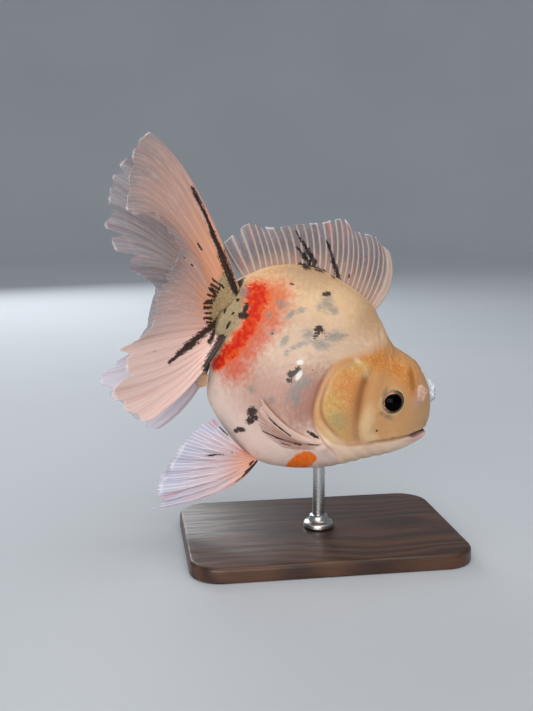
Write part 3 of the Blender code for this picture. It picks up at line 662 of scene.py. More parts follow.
# %% Marks of the right flank
# Each oval: x, z, half length, half height, and turn in degrees with the front end going down.
RIGHT_MARKS = {
    "red": ((-34.2, 18, 4.8, 5.6, 0), (-33.2, 11.8, 3, 4.8, 0), (-33.6, 6.2, 2.8, 4.8, 0),
            (-35.2, 0.6, 3, 4.8, 15), (-36.8, -4.8, 3.1, 4.6, 18), (-39, -10.4, 2.2, 4.2, 18)),
    "halo": ((-27.8, 20, 5.4, 6.4, 0), (-28.4, 12.4, 5.2, 6.2, 0), (-30, 4.8, 4.6, 6.2, 10),
             (-32, -1.8, 4, 5.6, 15), (-33.8, -9.4, 4.8, 6.2, 15)),
    "olive": ((-41.8, 12.4, 4.6, 9.6, 0), (-40.6, 4.2, 3.6, 7, 8), (-41.8, -3, 2.6, 5, 15),
              (-48, 8, 5.6, 15, 0)),
    "orange": ((2.2, -36.4, 4.6, 6.6, 0), (3.6, -33.6, 3.2, 3.2, 10)),
    "grey": ((-9.8, 24.2, 2.3, 2.7, 0), (-6.8, 22.6, 1.8, 1.2, -10), (-12.2, 22, 1.2, 1.2, 0),
             (-4.6, 13.6, 3.2, 1.9, -25), (-8.4, 9.6, 3.4, 1.8, 5), (-1.2, 15.2, 2, 0.7, -20),
             (-13.5, 11.3, 1.8, 1.8, 0), (-14.6, 7.4, 2.4, 0.9, -35), (-17.2, 4.9, 1.3, 0.7, -35),
             (-21.5, 15.7, 0.9, 2.3, 30), (-18.1, 18.8, 1.5, 0.8, -35),
             (-20.7, 6.5, 1, 2.3, 12), (-18.8, 2.2, 0.8, 0.9, 0), (-25.3, 18.2, 1.5, 1.3, 0),
             (-28.5, 12.9, 0.8, 0.8, 0), (-25.6, 7.2, 0.8, 1.2, 15), (-39.2, 17.4, 1.8, 1.8, 0),
             (-11.4, -8.6, 2.1, 4.8, 5), (-9.4, -5.2, 1.6, 2.2, 0), (-25.7, -15, 1.2, 1.1, 0),
             (-18, -15.9, 1, 1.2, 0), (-10.2, -12.6, 1.4, 2.2, 0)),
    "black": ((-10.3, 14.4, 1.8, 1.5, -25), (-11, 11.9, 0.9, 1.6, 5),
              (-7.3, 12.9, 0.4, 1.2, -30), (-10.5, 27.3, 1.9, 0.8, -25),
              (-13.4, -2.2, 0.9, 2.1, 18), (-15, -4.3, 1.2, 1.5, 0),
              (-14.8, -6.6, 1.2, 1, 0), (-7.6, -0.1, 1.4, 0.35, 8),
              (-22.8, -22.9, 1.6, 2.2, 10), (-22, -26.4, 1.4, 1.8, 0),
              (-20.6, -24.6, 1, 1, 0), (-23.6, -31.4, 1.8, 1.1, -25),
              (-24.6, -32.8, 0.9, 1.2, 0), (-36.6, 12.2, 0.9, 2.2, -5),
              (-36.2, 9.6, 1.4, 1.4, -20), (-37.5, 8.8, 0.9, 1.2, 0), (-40, 13.9, 0.6, 0.9, 0),
              (-41.2, 18.6, 1, 3.4, 20), (-40.2, 8.4, 0.4, 1, 15),
              (-40.4, 3.8, 0.5, 1.9, 12), (-43, 8.4, 0.5, 1.4, 0), (-40.6, -1.4, 0.6, 1.2, 10),
              (0.4, -23, 3, 0.7, 18), (-23.6, 26.4, 0.8, 0.5, 0), (-25.4, 7, 0.4, 0.8, 15),
              (-19, 34.6, 2.2, 1.5, 0), (-13.6, 35.4, 3, 1.5, 0), (-7.4, 34.8, 1.4, 1.4, 0)),
    # Painted highlight: white glints on a few pearly scales.
    "painted_glint": ((-13.2, 0.9, 1.5, 0.9, -25), (-12.2, -3.8, 0.9, 2.2, 10)),
    "blush": ((-6, -10, 7.4, 12, 0),),
    "mauve": ((-18, -14, 14, 11, 0),),
    # Painted shade: the back behind the head and below the dorsal fin's root.
    "back_shade": ((8, 24, 6.5, 5, -55), (-19, 30.4, 9, 4.6, -8)),
}
print(sum(map(len, RIGHT_MARKS.values())), "marks on the right flank")

# %% Marks of the left flank
LEFT_MARKS = {kind: RIGHT_MARKS[kind] for kind in ("olive", "orange", "blush", "mauve", "back_shade")}
LEFT_MARKS.update({
    "red": ((-35, 13, 4.2, 6, 0), (-34, 4, 3, 6.5, 10), (-14, 21, 4.4, 3.2, -20)),
    "halo": ((-29, 11, 6.6, 10, 0), (-13, 19, 7, 5.4, -20), (-35, -8, 4, 7, 10)),
    "grey": ((-18, 6, 3, 2.2, 10), (-8, 3.4, 2.2, 3, 0), (-23.4, 17, 1.8, 1.6, 0),
             (-11, 12, 2.4, 1.4, 20), (-15, -16, 2.6, 2, 0), (-3.6, 17, 1.6, 1.3, 0)),
    "black": ((-17, 8, 1.3, 1, 0), (-7.6, 1.6, 1, 1.5, 15), (-24.6, -6.4, 1.2, 1.4, 0),
              (-26, -9, 0.9, 0.8, 0), (-12.4, -20, 1.5, 1.2, -20),
              (-38, 9, 1.2, 1.8, 8), (-20.6, 24.6, 1.5, 0.8, -15), (-3, 8.6, 0.6, 0.6, 0),
              (-41, 16, 0.9, 2, 8)) + RIGHT_MARKS["black"][-3:],
    # Painted highlight: a white glint on a pearly scale.
    "painted_glint": ((-20, 10, 1, 0.8, 0),),
})
print(sum(map(len, LEFT_MARKS.values())), "marks on the left flank")

# %% Marks of the head
HEAD_MARKS = {
    "crown": ((15.8, 11, 7.2, 4.2, 0), (24.4, 9.8, 5.4, 3.6, 20), (31, 7.8, 3.4, 3.6, 20),
              (34, 4.6, 2, 3.2, 0)),
    "stripe": ((9.6, 6, 4.8, 1.5, 37),),
    "cover_orange": ((6, -0.8, 5.8, 4.8, 0), (10.6, -4.6, 4.4, 7.6, -8)),
    "cover_olive": ((8, -14.6, 4.4, 4, 0), (2.2, 5.6, 4.8, 1.7, -42)),
    "cheek": ((18.6, -13, 3, 6.6, -5), (22.4, -18.2, 5, 2.4, 10), (9.6, -22, 8, 1.6, 25)),
    "snout": ((38.4, 2, 2.9, 5, 0),),
    "drip": ((32.6, 7, 1.2, 4.8, -29),),
    "dots": ((24.6, -14.8, 0.5, 0.5, 0), (33, -16.2, 0.6, 0.45, -10)),
    "shade": ((26.8, -8.4, 2.8, 0.9, 5), (23.4, -7.6, 0.9, 0.7, 0), (21.6, 0, 0.8, 2.2, 20),
              (45, -11.4, 4.4, 0.8, -14), (39, -14.4, 3, 0.5, -27)),
}
print(sum(map(len, HEAD_MARKS.values())), "marks on each side of the head")

# %% Reach of the marks
REACH_LIMIT = 3.0             # beyond this a mark has no effect at all


def oval_reach(points, ovals):
    """How far points lie from the nearest of some ovals: 0 in its middle, 1 on its edge."""
    nearest = np.full(points.shape[:-1], REACH_LIMIT)
    for x, z, long, high, turn in ovals:
        dx, dz = points[..., 0] - x, points[..., 2] - z
        cosine, sine = math.cos(math.radians(turn)), math.sin(math.radians(turn))
        ahead, up = (dx * cosine - dz * sine) / long, (dx * sine + dz * cosine) / high
        nearest = np.minimum(nearest, np.hypot(ahead, up))
    return nearest


def mark_values(points):
    """Reach of every kind of mark at points of the body, by kind."""
    to_left = REACH_LIMIT * ease(-1.0, 1.0, points[..., 1])
    values = {}
    for kind, ovals in RIGHT_MARKS.items():
        right = oval_reach(points, ovals) + to_left
        left = oval_reach(points, LEFT_MARKS[kind]) + REACH_LIMIT - to_left
        values[kind] = np.minimum(np.minimum(right, left), REACH_LIMIT)
    return values


skin_values = mark_values(body)
skin_values.update({kind: oval_reach(body, ovals) for kind, ovals in HEAD_MARKS.items()})
print("share of the skin that is red:", (skin_values["red"] < 1).mean().round(3))

# %% [markdown]
# The ovals' reach is worked out once for each point of a mesh, and the shader adds the fine
# uneven edge. That keeps the shader small, where a hundred ovals inside it would be too many
# for one material. The coats of paint go on in the order of the list below: the tints of
# back, clouds, painted shade on the nape and by the dorsal fin, and belly first, then halo,
# olive, red and orange, then grey and black, and a painted glint on pearly scales last.

# %% Markings group
def mask(tree, kind, grain, ragged, soft):
    """Share of one kind of mark, from its reach at the points, with an uneven edge."""
    reach = uneven(tree, drawn(tree, kind), grain, ragged)
    return ramp(tree, reach, 1 - soft, 1 + soft, 1.0, 0.0)


def coats_of_paint(tree, colour, coats):
    """A colour with coats laid over it, each a share, a paint and a strength."""
    for share, over, strength in coats:
        colour = blend_colour(tree, times(tree, share, strength), colour, over)
    return colour


def fish_axes(tree, place):
    """A world place in the fish's own frame in millimetres, and its three axes."""
    mapping = add(tree, "Mapping", {"Vector": place, "Location": (0, 0, BODY_HEIGHT * MM),
                                    "Rotation": (0, NOSE_DOWN, 0), "Scale": (MM, MM, MM)},
                  vector_type="TEXTURE")
    return mapping.outputs[0], add(tree, "SeparateXYZ", {0: mapping.outputs[0]}).outputs


markings, given, result = new_group("calico_markings", {"Vector": ("Place",)},
                                    {"Color": ("Colour",), "Float": ("Dark",)})
tree = markings
place, (_, _, high_way) = fish_axes(tree, given["Place"])
coarse, middle = cloud(tree, place, 0.16, 3.0), cloud(tree, place, 0.55, 3.0)
grain = cloud(tree, place, 1.5, 4.0)
streaky = cloud(tree, place, 1.0, 3.0, stretch=(0.5, 0.5, 1.4))
height = uneven(tree, high_way, coarse, 16.0)
# Ground from a pale belly to a cream back; the belly end is also painted lighter, painted light from
# below.
ground = grade(tree, height, -30.0, 12.0, (236, 204, 190), (208, 172, 142))
red = mask(tree, "red", streaky, 1.0, 0.42)
red_core = times(tree, ramp(tree, red, 0.6, 1.0), ramp(tree, middle, 0.2, 0.6))
black = mask(tree, "black", grain, 1.6, 0.22)
halo_paint = grade(tree, height, 6.0, 20.0, (206, 76, 40), (212, 92, 34))
olive_paint = grade(tree, grain, 0.25, 0.75, (132, 114, 80), (172, 154, 114))
orange_paint = grade(tree, grain, 0.35, 0.65, (250, 92, 0), (255, 130, 6))
colour = coats_of_paint(tree, ground, (
    (ramp(tree, height, 12.0, 28.0), (228, 184, 134), 1.0),
    (ramp(tree, middle, 0.45, 0.75), (226, 200, 180), 0.35),
    (ramp(tree, coarse, 0.5, 0.8), (210, 168, 150), 0.45),
    # Painted shade on the nape and along the back by the dorsal fin.
    (mask(tree, "back_shade", middle, 1.2, 0.9), (178, 138, 104), 0.75),
    (mask(tree, "blush", middle, 0.8, 0.7), (142, 88, 66), 0.9),
    (mask(tree, "mauve", middle, 0.6, 0.7), (174, 122, 106), 0.75),
    (mask(tree, "halo", middle, 1.5, 0.8), halo_paint, 0.85),
    (mask(tree, "olive", middle, 0.9, 0.35), olive_paint, 0.85),
    (red, (232, 90, 0), 1.0),
    (red_core, (202, 22, 0), 0.95),
    (mask(tree, "orange", grain, 0.5, 0.12), orange_paint, 1.0),
    (mask(tree, "grey", streaky, 2.4, 0.9), (120, 122, 118), 0.75),
    (black, blend_colour(tree, grain, (20, 10, 10), (58, 36, 28)), 0.96),
    # Painted highlight last: white glints on pearly scales.
    (mask(tree, "painted_glint", grain, 1.0, 0.3), (240, 232, 222), 0.85)))
tree.links.new(colour, result["Colour"])
tree.links.new(maths(tree, "MAXIMUM", black, red), result["Dark"])
print("markings group of", len(tree.nodes), "nodes")

# %% [markdown]
# The head has paint of its own: an orange crown, tan cheeks, and a gill cover that shows
# yellow, orange and olive through thin bone. Only the skin reaches it, so it is a second
# group. It starts from the flank's colour and hands back the whole skin's colour.

# %% Head group
head_paint, given, result = new_group(
    "head_paint", {"Vector": ("Place",), "Color": ("Flank",), "Float": ("Head", "Cover")},
    {"Color": ("Colour",)})
tree = head_paint
place, (long_way, _, high_way) = fish_axes(tree, given["Place"])
middle, grain = cloud(tree, place, 0.5, 3.0), cloud(tree, place, 1.5, 4.0)
speckle = cloud(tree, place, 1.9, 2.0)
eye_place = add(tree, "Mapping", {"Vector": place, "Location": (EYE_X, 0, EYE_Z),
                                  "Scale": (1, 1000, 1)}, vector_type="TEXTURE").outputs[0]
from_eye = add(tree, "VectorMath", {0: eye_place}, operation="LENGTH").outputs["Value"]
crown = mask(tree, "crown", middle, 1.3, 0.6)
bands = maths(tree, "ABSOLUTE", maths(tree, "SUBTRACT", cloud(tree, place, 0.42, 1.0), 0.5))
wrinkles = ramp(tree, bands, 0.01, 0.07, 1.0, 0.0)
face = grade(tree, high_way, -26.0, 10.0, (206, 160, 108), (196, 144, 94))
face = coats_of_paint(tree, face, (
    (ramp(tree, middle, 0.4, 0.65), (206, 138, 84), 0.38),
    (ramp(tree, long_way, 34.0, 46.0), (186, 144, 100), 0.7),
    (mask(tree, "cheek", middle, 0.6, 0.6), (226, 192, 148), 0.75),
    (crown, (200, 124, 54), 0.85),
    (times(tree, crown, wrinkles), (224, 168, 108), 0.5),
    (mask(tree, "drip", grain, 0.8, 0.6), (142, 92, 46), 0.75),
    (mask(tree, "stripe", grain, 0.8, 0.4), (236, 212, 174), 0.85),
    (mask(tree, "snout", middle, 0.8, 0.6), (188, 150, 130), 0.7),
    (ramp(tree, from_eye, 4.2, 6.6, 1.0, 0.0), (200, 178, 140), 0.7),
    (mask(tree, "shade", grain, 1.2, 0.6), (112, 92, 76), 0.6),
    (mask(tree, "dots", grain, 0.3, 0.2), (48, 30, 22), 0.95)))
cover = grade(tree, middle, 0.35, 0.65, (196, 146, 76), (204, 164, 102))
cover = coats_of_paint(tree, cover, (
    (mask(tree, "cover_olive", middle, 0.8, 0.6), (170, 150, 104), 0.8),
    (mask(tree, "cover_orange", middle, 0.9, 0.9), (204, 130, 74), 0.9),
    (ramp(tree, speckle, 0.59, 0.67), (142, 114, 74), 0.6),
    (ramp(tree, speckle, 0.30, 0.40, 1.0, 0.0), (230, 202, 150), 0.45)))
face = blend_colour(tree, given["Cover"], face, cover)
tree.links.new(blend_colour(tree, given["Head"], given["Flank"], face), result["Colour"])
print("head group of", len(tree.nodes), "nodes")

# %% [markdown]
# ## Skin
# Wet fish skin is soft inside, so light enters it and comes out again a little redder, and it
# carries a thin clear layer of slime. The Principled shader does both with its subsurface and
# coat values. Folds hold blood and shadow, so their value darkens the colour.

# %% Skin material
WET = {"Subsurface Weight": 0.12, "Subsurface Radius": (1.0, 0.42, 0.26),
       "Subsurface Scale": 0.0014, "IOR": 1.36}
material_skin, tree, shader, place = new_material("wet_skin", {**WET, "Coat Roughness": 0.18})
head, cover, throat, lip_and_highlight, crease, deep, mouth_shade = (
    drawn(tree, label) for label in ("head", "cover", "throat", "lip_and_highlight", "crease", "fold", "mouth"))
flank = add(tree, "Group", {"Place": place}, node_tree=markings).outputs["Colour"]
colour = add(tree, "Group", {"Place": place, "Flank": flank, "Head": head, "Cover": cover},
             node_tree=head_paint).outputs["Colour"]
colour = coats_of_paint(tree, colour, (
    # Pale throat, painted lighter than its own colour as painted light from below.
    (times(tree, throat, head), (248, 216, 190), 0.9), (lip_and_highlight, (226, 176, 162), 0.9),
    # Painted shade in the cheek's crease, and painted shade with some blood colour in the folds.
    (crease, (152, 92, 50), 0.85), (deep, (132, 80, 58), 0.62),
    # Painted shade inside the open mouth.
    (mouth_shade, (50, 30, 26), 1.0)))
patches, pores = cloud(tree, place, 900.0, 3.0), cloud(tree, place, 2600.0, 2.0)
dress(shader, colour, spread(tree, patches, 0.36, 0.52),
      ramp(tree, cloud(tree, place, 300.0), 0.3, 0.7, 0.08, 0.20),
      (maths(tree, "MULTIPLY_ADD", pores, 0.5, patches), 0.00022, 0.5))
print(material_skin.name, "has", len(tree.nodes), "nodes")

# %% Values drawn on the skin
x, side, z = body[..., 0], np.abs(body[..., 1]), body[..., 2]
soft = 0.5 + 5.0 * ease(5.0, 12.0, z)
from_lip = z - along_line(x, THROAT_LINE + MOUTH_LINE[1:])
skin_values.update({
    "head": ease(-soft - 0.4, soft - 0.4, x - along_line(z, GILL_OPENING)),
    "cover": ease(-0.9, 1.6, cover_gap(x, z)) * (1 - ease(8.0, 16.0, x)) * ease(3.0, 6.0, side),
    # Where painted shade lies in the crease between the cheek and the gill cover.
    "crease": ease(9.0, 12.0, side) * hump(x - along_line(z, CHEEK_CREASE) + 0.6, 2.3)
              * (0.6 * ease(-24.0, -18.0, z) + 0.4 * ease(-17.0, -6.0, z)) * (1 - ease(2.0, 6.0, z)),
    # Pink lower lip, and a thin pale line of painted highlight along the cheek's lower edge.
    "lip_and_highlight": np.maximum(hump(from_lip + 2.6, 1.8) * ease(37.0, 44.0, x),
                      0.6 * hump(from_lip - 0.7, 0.6) * ease(8.0, 16.0, x)),
    "throat": ease(0.0, 1.6, -from_lip),
    "fold": fold, "mouth": mouth})
print("values on the skin:", ", ".join(sorted(skin_values)))

# %% Skin piece
TIP_SHARE = 0.01              # height of each end's fan on the flat map
SNOUT_SUNK = 2.0              # the snout's end lies this much deeper, inside the open mouth


def with_tips(values):
    """Values at a grid's points, with those of its two end points added."""
    return np.concatenate([values.ravel(), [values[0].mean(), values[-1].mean()]])


tips = body_surface(np.array([0.0, float(LAST_STATION)]), np.zeros(2))
tips[0, 0] += COAT_DEPTH
tips[1, 0] -= COAT_DEPTH + SNOUT_SUNK
points = np.concatenate([skin.reshape(-1, 3), tips])
quads = grid_quads(ROWS, AROUND, wrap=True)
here = np.arange(AROUND)
after = (here + 1) % AROUND
tail_fan = np.stack([np.full(AROUND, len(points) - 2), after, here], -1)
last_row = (ROWS - 1) * AROUND
snout_fan = np.stack([last_row + here, last_row + after, np.full(AROUND, len(points) - 1)], -1)
u0, u1, low = here / AROUND, (here + 1) / AROUND, np.zeros(AROUND)
places = np.concatenate([
    (grid_places(ROWS, AROUND + 1) * (1, 1 - 2 * TIP_SHARE) + (0, TIP_SHARE)).ravel(),
    np.stack([u0, low, u1, low + TIP_SHARE, u0, low + TIP_SHARE], -1).ravel(),
    np.stack([u0, low + 1 - TIP_SHARE, u1, low + 1 - TIP_SHARE, u0, low + 1], -1).ravel()])
skin_piece = make_piece(
    "skin", points, quads.tolist() + tail_fan.tolist() + snout_fan.tolist(), material_skin,
    places, marks={label: with_tips(values) for label, values in skin_values.items()})
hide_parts("head", "lower_jaw", "gill_cover_right", "gill_cover_left", "trunk",
            "tail_stem")

# %% [markdown]
# ## Scales
# A goldfish has about 25 to 30 scales from gill cover to tail, in rows that overlap like roof
# tiles. Particles could scatter them, but they wouldn't keep the rows. Here each scale is a
# small solid disc laid on the skin's own grid: rings run from the gill opening to the tail,
# and each ring is shifted half a scale from the last. The front of a scale lies just under
# the skin and its rear edge stands a few hundredths of a millimetre proud, because this
# fish's coat is almost smooth.

# %% Rings of scales
RINGS, ROUND = 25, 64
STEM_END, NAPE_END, BARE_MARGIN = -43.4, 10.5, 0.9
RING_STEPS = 81               # places along the way at which the rows are worked out
RING_MARGIN = 0.02            # share of the way kept free at each end
LONG_HALF, WIDE_HALF = 0.95, 0.58     # half sizes of a scale, in rings and in places round
FRONT_SUNK, REAR_PROUD, DOME, SCALE_DEEP = -0.02, 0.04, 0.008, 0.12


def between(grid, row, column):
    """Values of a grid at fractional rows and columns, closed along its columns."""
    low, left = np.floor(row).astype(int), np.floor(column).astype(int)
    low = np.clip(low, 0, grid.shape[0] - 2)
    up, right = (row - low)[..., None], (column - left)[..., None]
    left, beyond = left % grid.shape[1], (left + 1) % grid.shape[1]
    near = grid[low, left] * (1 - right) + grid[low, beyond] * right
    far = grid[low + 1, left] * (1 - right) + grid[low + 1, beyond] * right
    return near * (1 - up) + far * up


border = along_line(skin[..., 2], GILL_OPENING)
border = np.where(skin[..., 2] > 0, np.minimum(border, NAPE_END), border) - BARE_MARGIN
run = np.concatenate([np.zeros((1, AROUND)),
                      np.cumsum(np.linalg.norm(np.diff(skin, axis=0), axis=-1), axis=0)])
shares = np.linspace(0, 1, RING_STEPS)
ring_rows = np.zeros((RING_STEPS, AROUND))
for column in range(AROUND):
    rear = np.argmax(skin[:, column, 0] > STEM_END)
    front = np.argmax(skin[:, column, 0] > border[:, column])
    wanted = run[rear, column] + shares * (run[front, column] - run[rear, column])
    ring_rows[:, column] = np.interp(wanted, run[:, column], np.arange(ROWS))

print("scales run from row", ring_rows[0].min().round(1), "to row", ring_rows[-1].max().round(1))

# %% One scale's pattern
SIDE = 5                      # points along each side of the square that is bent into a disc
square = np.linspace(-1, 1, SIDE)
wide, long = np.meshgrid(square, square)
disc_long = long * np.sqrt(1 - wide ** 2 / 2)
disc_wide = wide * np.sqrt(1 - long ** 2 / 2)
rim = ([(0, k) for k in range(SIDE)] + [(k, SIDE - 1) for k in range(1, SIDE)]
       + [(SIDE - 1, k) for k in range(SIDE - 2, -1, -1)] + [(k, 0) for k in range(SIDE - 2, 0, -1)])
rim = np.array([row * SIDE + column for row, column in rim])
under = SIDE * SIDE + np.arange(len(rim))
middle_under = under[-1] + 1
scale_long = np.concatenate([disc_long.ravel(), disc_long.ravel()[rim], [0.0]])
scale_wide = np.concatenate([disc_wide.ravel(), disc_wide.ravel()[rim], [0.0]])
scale_rise = (FRONT_SUNK + (REAR_PROUD - FRONT_SUNK) * (scale_long + 1) / 2
              + DOME * (1 - scale_long ** 2 - scale_wide ** 2))
scale_rise[SIDE * SIDE:] -= SCALE_DEEP
next_rim, next_under = np.roll(rim, -1), np.roll(under, -1)
scale_quads = np.concatenate([grid_quads(SIDE, SIDE),
                              np.stack([next_rim, rim, under, next_under], -1)])
scale_fan = np.stack([next_under, under, np.full(len(under), middle_under)], -1)
print("a scale has", len(scale_long), "points and", len(scale_quads) + len(scale_fan), "faces")

# %% Scale material
material_scale, tree, shader, place = new_material("thin_scale", {**WET, "Coat Roughness": 0.20})
marked = add(tree, "Group", {"Place": place}, node_tree=markings).outputs
plain = maths(tree, "SUBTRACT", 1.0, marked["Dark"])
colour = coats_of_paint(tree, marked["Colour"], (
    (times(tree, drawn(tree, "edge"), plain), (232, 212, 196), 0.10),
    (times(tree, drawn(tree, "tone"), plain), (184, 148, 130), 0.05)))
sheen = cloud(tree, place, 420.0, 2.0)
dress(shader, colour, spread(tree, sheen, 0.34, 0.48),
      ramp(tree, sheen, 0.35, 0.7, 0.08, 0.20), (cloud(tree, place, 2400.0, 2.0), 0.00012, 0.4))
print(material_scale.name, "has", len(tree.nodes), "nodes")

# %% Scale pieces
HALF_PATCH = 0.0015           # half size of a scale's patch on the skin's flat map
CREASE_ANGLE = math.radians(40)
chance = np.random.default_rng(12)
for side_name, places_round in (("left", range(ROUND // 2)), ("right", range(ROUND // 2, ROUND))):
    ring, turn = np.meshgrid(np.arange(RINGS), np.array(places_round), indexing="ij")
    ring, turn = ring.ravel()[:, None], turn.ravel()[:, None]
    size = chance.uniform(0.94, 1.04, ring.shape)
    share = (ring + 0.5 - scale_long * LONG_HALF * size) / RINGS
    share = RING_MARGIN + (1 - 2 * RING_MARGIN) * share
    around = (turn + 0.5 * (ring % 2) + 0.5 + scale_wide * WIDE_HALF * size) / ROUND * AROUND
    row = between(ring_rows[..., None], share * (len(shares) - 1), around)[..., 0]
    points = between(skin, row, around) + between(skin_normal, row, around) * scale_rise[:, None]
    count, corners = points.shape[:2]
    first = (np.arange(count) * corners)[:, None, None]
    quads = (scale_quads + first).reshape(-1, 4)
    fans = (scale_fan + first).reshape(-1, 3)
    root = np.stack([around[:, 2] / AROUND, TIP_SHARE + (1 - 2 * TIP_SHARE) * row[:, 2]
                     / (ROWS - 1)], -1)
    patch = root[:, None] + np.stack([scale_wide, -scale_long], -1) * HALF_PATCH
    patch = np.mod(patch, 1.0).reshape(-1, 2)
    values = mark_values(points)
    values["edge"] = np.broadcast_to(ease(0.35, 0.95, scale_long), row.shape)
    values["tone"] = np.repeat(chance.uniform(0, 1, count), corners)
    coat = make_piece("scales_" + side_name, points, quads.tolist() + fans.tolist(),
                      material_scale,
                      np.concatenate([patch[quads].ravel(), patch[fans].ravel()]), marks=values)
    coat.data.set_sharp_from_angle(angle=CREASE_ANGLE)

# %% [markdown]
# ## Fins
# A fin is a thin double membrane stretched over jointed rays. In most fins each ray starts
# single at the body and forks, and forks again, on its way to the edge, so this tail has 28
# rays at its root and over a hundred at its rim; the dorsal's rays stay single. A flat sheet
# with a picture on it would lose this from the side. Here a fan surface runs through guide
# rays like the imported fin's, and a closed shell follows it: thick on a ray, thin between
# rays, and ruffled along its free edge.

# %% Rays and strokes of a fin
RAY_FORKS = (0.42, 0.68)


def fan_point(guides, across, along):
    """Points of a fan at shares across its guide rays and along them."""
    position = (len(guides) - 1) * across
    root, middle, tip = (through([ray[k] for ray in guides], position) for k in range(3))
    s = along[..., None]
    return root * (1 - s) * (1 - 2 * s) + middle * 4 * s * (1 - s) + tip * s * (2 * s - 1)


def ray_distance(across, along, rays, forks):
    """Distance from the nearest ray, in spaces between rays, where rays fork twice."""
    off = np.abs(np.mod(across * rays, 1.0) - 0.5)
    off = np.abs(off - 0.25 * ease(forks[0], forks[0] + 0.25, along))
    return np.abs(off - 0.125 * ease(forks[1], forks[1] + 0.22, along))


def line_reach(points, line, width):
    """Distance of points from a line through space, in widths."""
    nearest = np.full(points.shape[:-1], 1e9)
    for start, end in zip(line, line[1:]):
        step = end - start
        share = np.clip(np.sum((points - start) * step, -1) / np.sum(step * step), 0, 1)
        nearest = np.minimum(nearest, np.linalg.norm(points - start - share[..., None] * step,
                                                     axis=-1))
    return nearest / width


def reach_along(points, guides, strokes):
    """Distance of fin points from the nearest stroke, in that stroke's half widths."""
    reach = np.full(points.shape[:-1], REACH_LIMIT)
    for width, *line in strokes:
        marks = np.array(line, float)
        corners = fan_point(guides, marks[:, 0], marks[:, 1])
        reach = np.minimum(reach, line_reach(points, corners, width))
    return reach


print("rays fork at shares", RAY_FORKS, "of their length")

# %% Fin shell
def make_fin(name, guides, rays, material, replaced, forks=RAY_FORKS, per_ray=20, steps=90,
             ray_thick=(0.95, 0.16), web_thick=(0.36, 0.10), ray_half=(0.17, 0.055), pleat=0.2,
             ruffles=(), outline=((0.0, 1.0), (1.0, 1.0)), scallop=0.02, lobes=0,
             notch=(0.0, 0.12), torn=0.0, streaks=(), stem_strokes=(), lead=(0.0, 0.0, 1.0),
             inset=0.06):
    """Closed fin shell through guide rays, with forked rays, ruffles and a worn edge.

    Thicknesses and half widths are given at the root and at the rim. A ruffle is a size, a
    number of waves, a phase and a power; lead is a thick front fold's size, place and width;
    inset is how far the root runs into the body, as a share of the ray."""
    columns = rays * per_ray + 1
    u, share = np.meshgrid(np.linspace(0, 1, columns), np.linspace(0, 1, steps), indexing="ij")
    edge_u, edge_length = np.array(outline).T
    length = np.interp(u[:, 0], edge_u, edge_length)
    wave = u[:, 0] * rays
    length += 0.012 * np.sin(wave * 2.1 + 1.0) + 0.008 * np.sin(wave * 5.3)
    off_edge = ray_distance(u[:, 0], np.ones(columns), lobes or rays, forks)
    length -= scallop * ease(notch[0], notch[1], off_edge)
    length -= torn * (np.maximum(0, np.sin(wave * 1.7 + 2.0)) ** 6
                      + 0.5 * np.maximum(0, np.sin(wave * 4.3)) ** 4)
    v = -inset + (length[:, None] + inset) * share
    points = fan_point(guides, u, v)
    normal = normals_of(points, wrap=False)
    off = ray_distance(u, v, rays, forks)
    grown = np.clip(v, 0, 1)
    half = ray_half[0] + (ray_half[1] - ray_half[0]) * ease(0.0, 0.8, v)
    ray = 1 - ease(0.3, 1.0, off / half)
    ray_width, web_width = (root + (rim - root) * grown ** 0.7 for root, rim in (ray_thick, web_thick))
    thick = web_width + (ray_width - web_width) * ray
    fold = hump(u - lead[1], lead[2]) * (lead[0] > 0)
    thick = thick + lead[0] * fold * (1 - 0.5 * grown)
    ray = np.maximum(ray, ease(0.0, 0.6, fold))
    sway = pleat * np.sin(2 * math.pi * u * rays) * ease(0.0, 0.3, v)
    for size, waves, phase, power in ruffles:
        sway = sway + size * grown ** power * np.sin(2 * math.pi * (waves * u + phase)
                                                     + 1.2 * grown)
    points = points + normal * sway[..., None]
    normal = normals_of(points, wrap=False)
    offset = 0.5 * normal * thick[..., None]
    shell = np.concatenate([(points + offset).reshape(-1, 3), (points - offset).reshape(-1, 3)])
    front = grid_quads(columns, steps)
    far_side = columns * steps
    index = np.arange(far_side).reshape(columns, steps)
    loop = np.concatenate([index[0], index[1:, -1], index[-1, -2::-1], index[-2:0:-1, 0]])
    ahead = np.roll(loop, -1)
    border = np.stack([ahead, loop, far_side + loop, far_side + ahead], -1)
    quads = np.concatenate([front, far_side + front[:, ::-1], border])
    flat = np.tile(np.stack([u, v], -1).reshape(-1, 2), (2, 1))
    values = {"ray": np.tile(ray.ravel(), 2),
              "streak": np.tile(reach_along(points, guides, streaks).ravel(), 2),
              "stem": np.tile(reach_along(points, guides, stem_strokes).ravel(), 2)}
    piece = make_piece(name, shell, quads.tolist(), material, flat[quads].ravel(),
                       map_name="fan", marks=values)
    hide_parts(*replaced)


print("fin maker ready")

# %% [markdown]
# ## Fin finish
# Fins are living film: warm and nearly solid at the root, where blood reaches them, and grey
# and clear at the rim. Rays are paler than the film between them and a few run pink. Alpha is
# kept fairly high, so that the far lobe shows only faintly. Black marks follow the rays, so
# their edges are broken up along the rays and not across them.

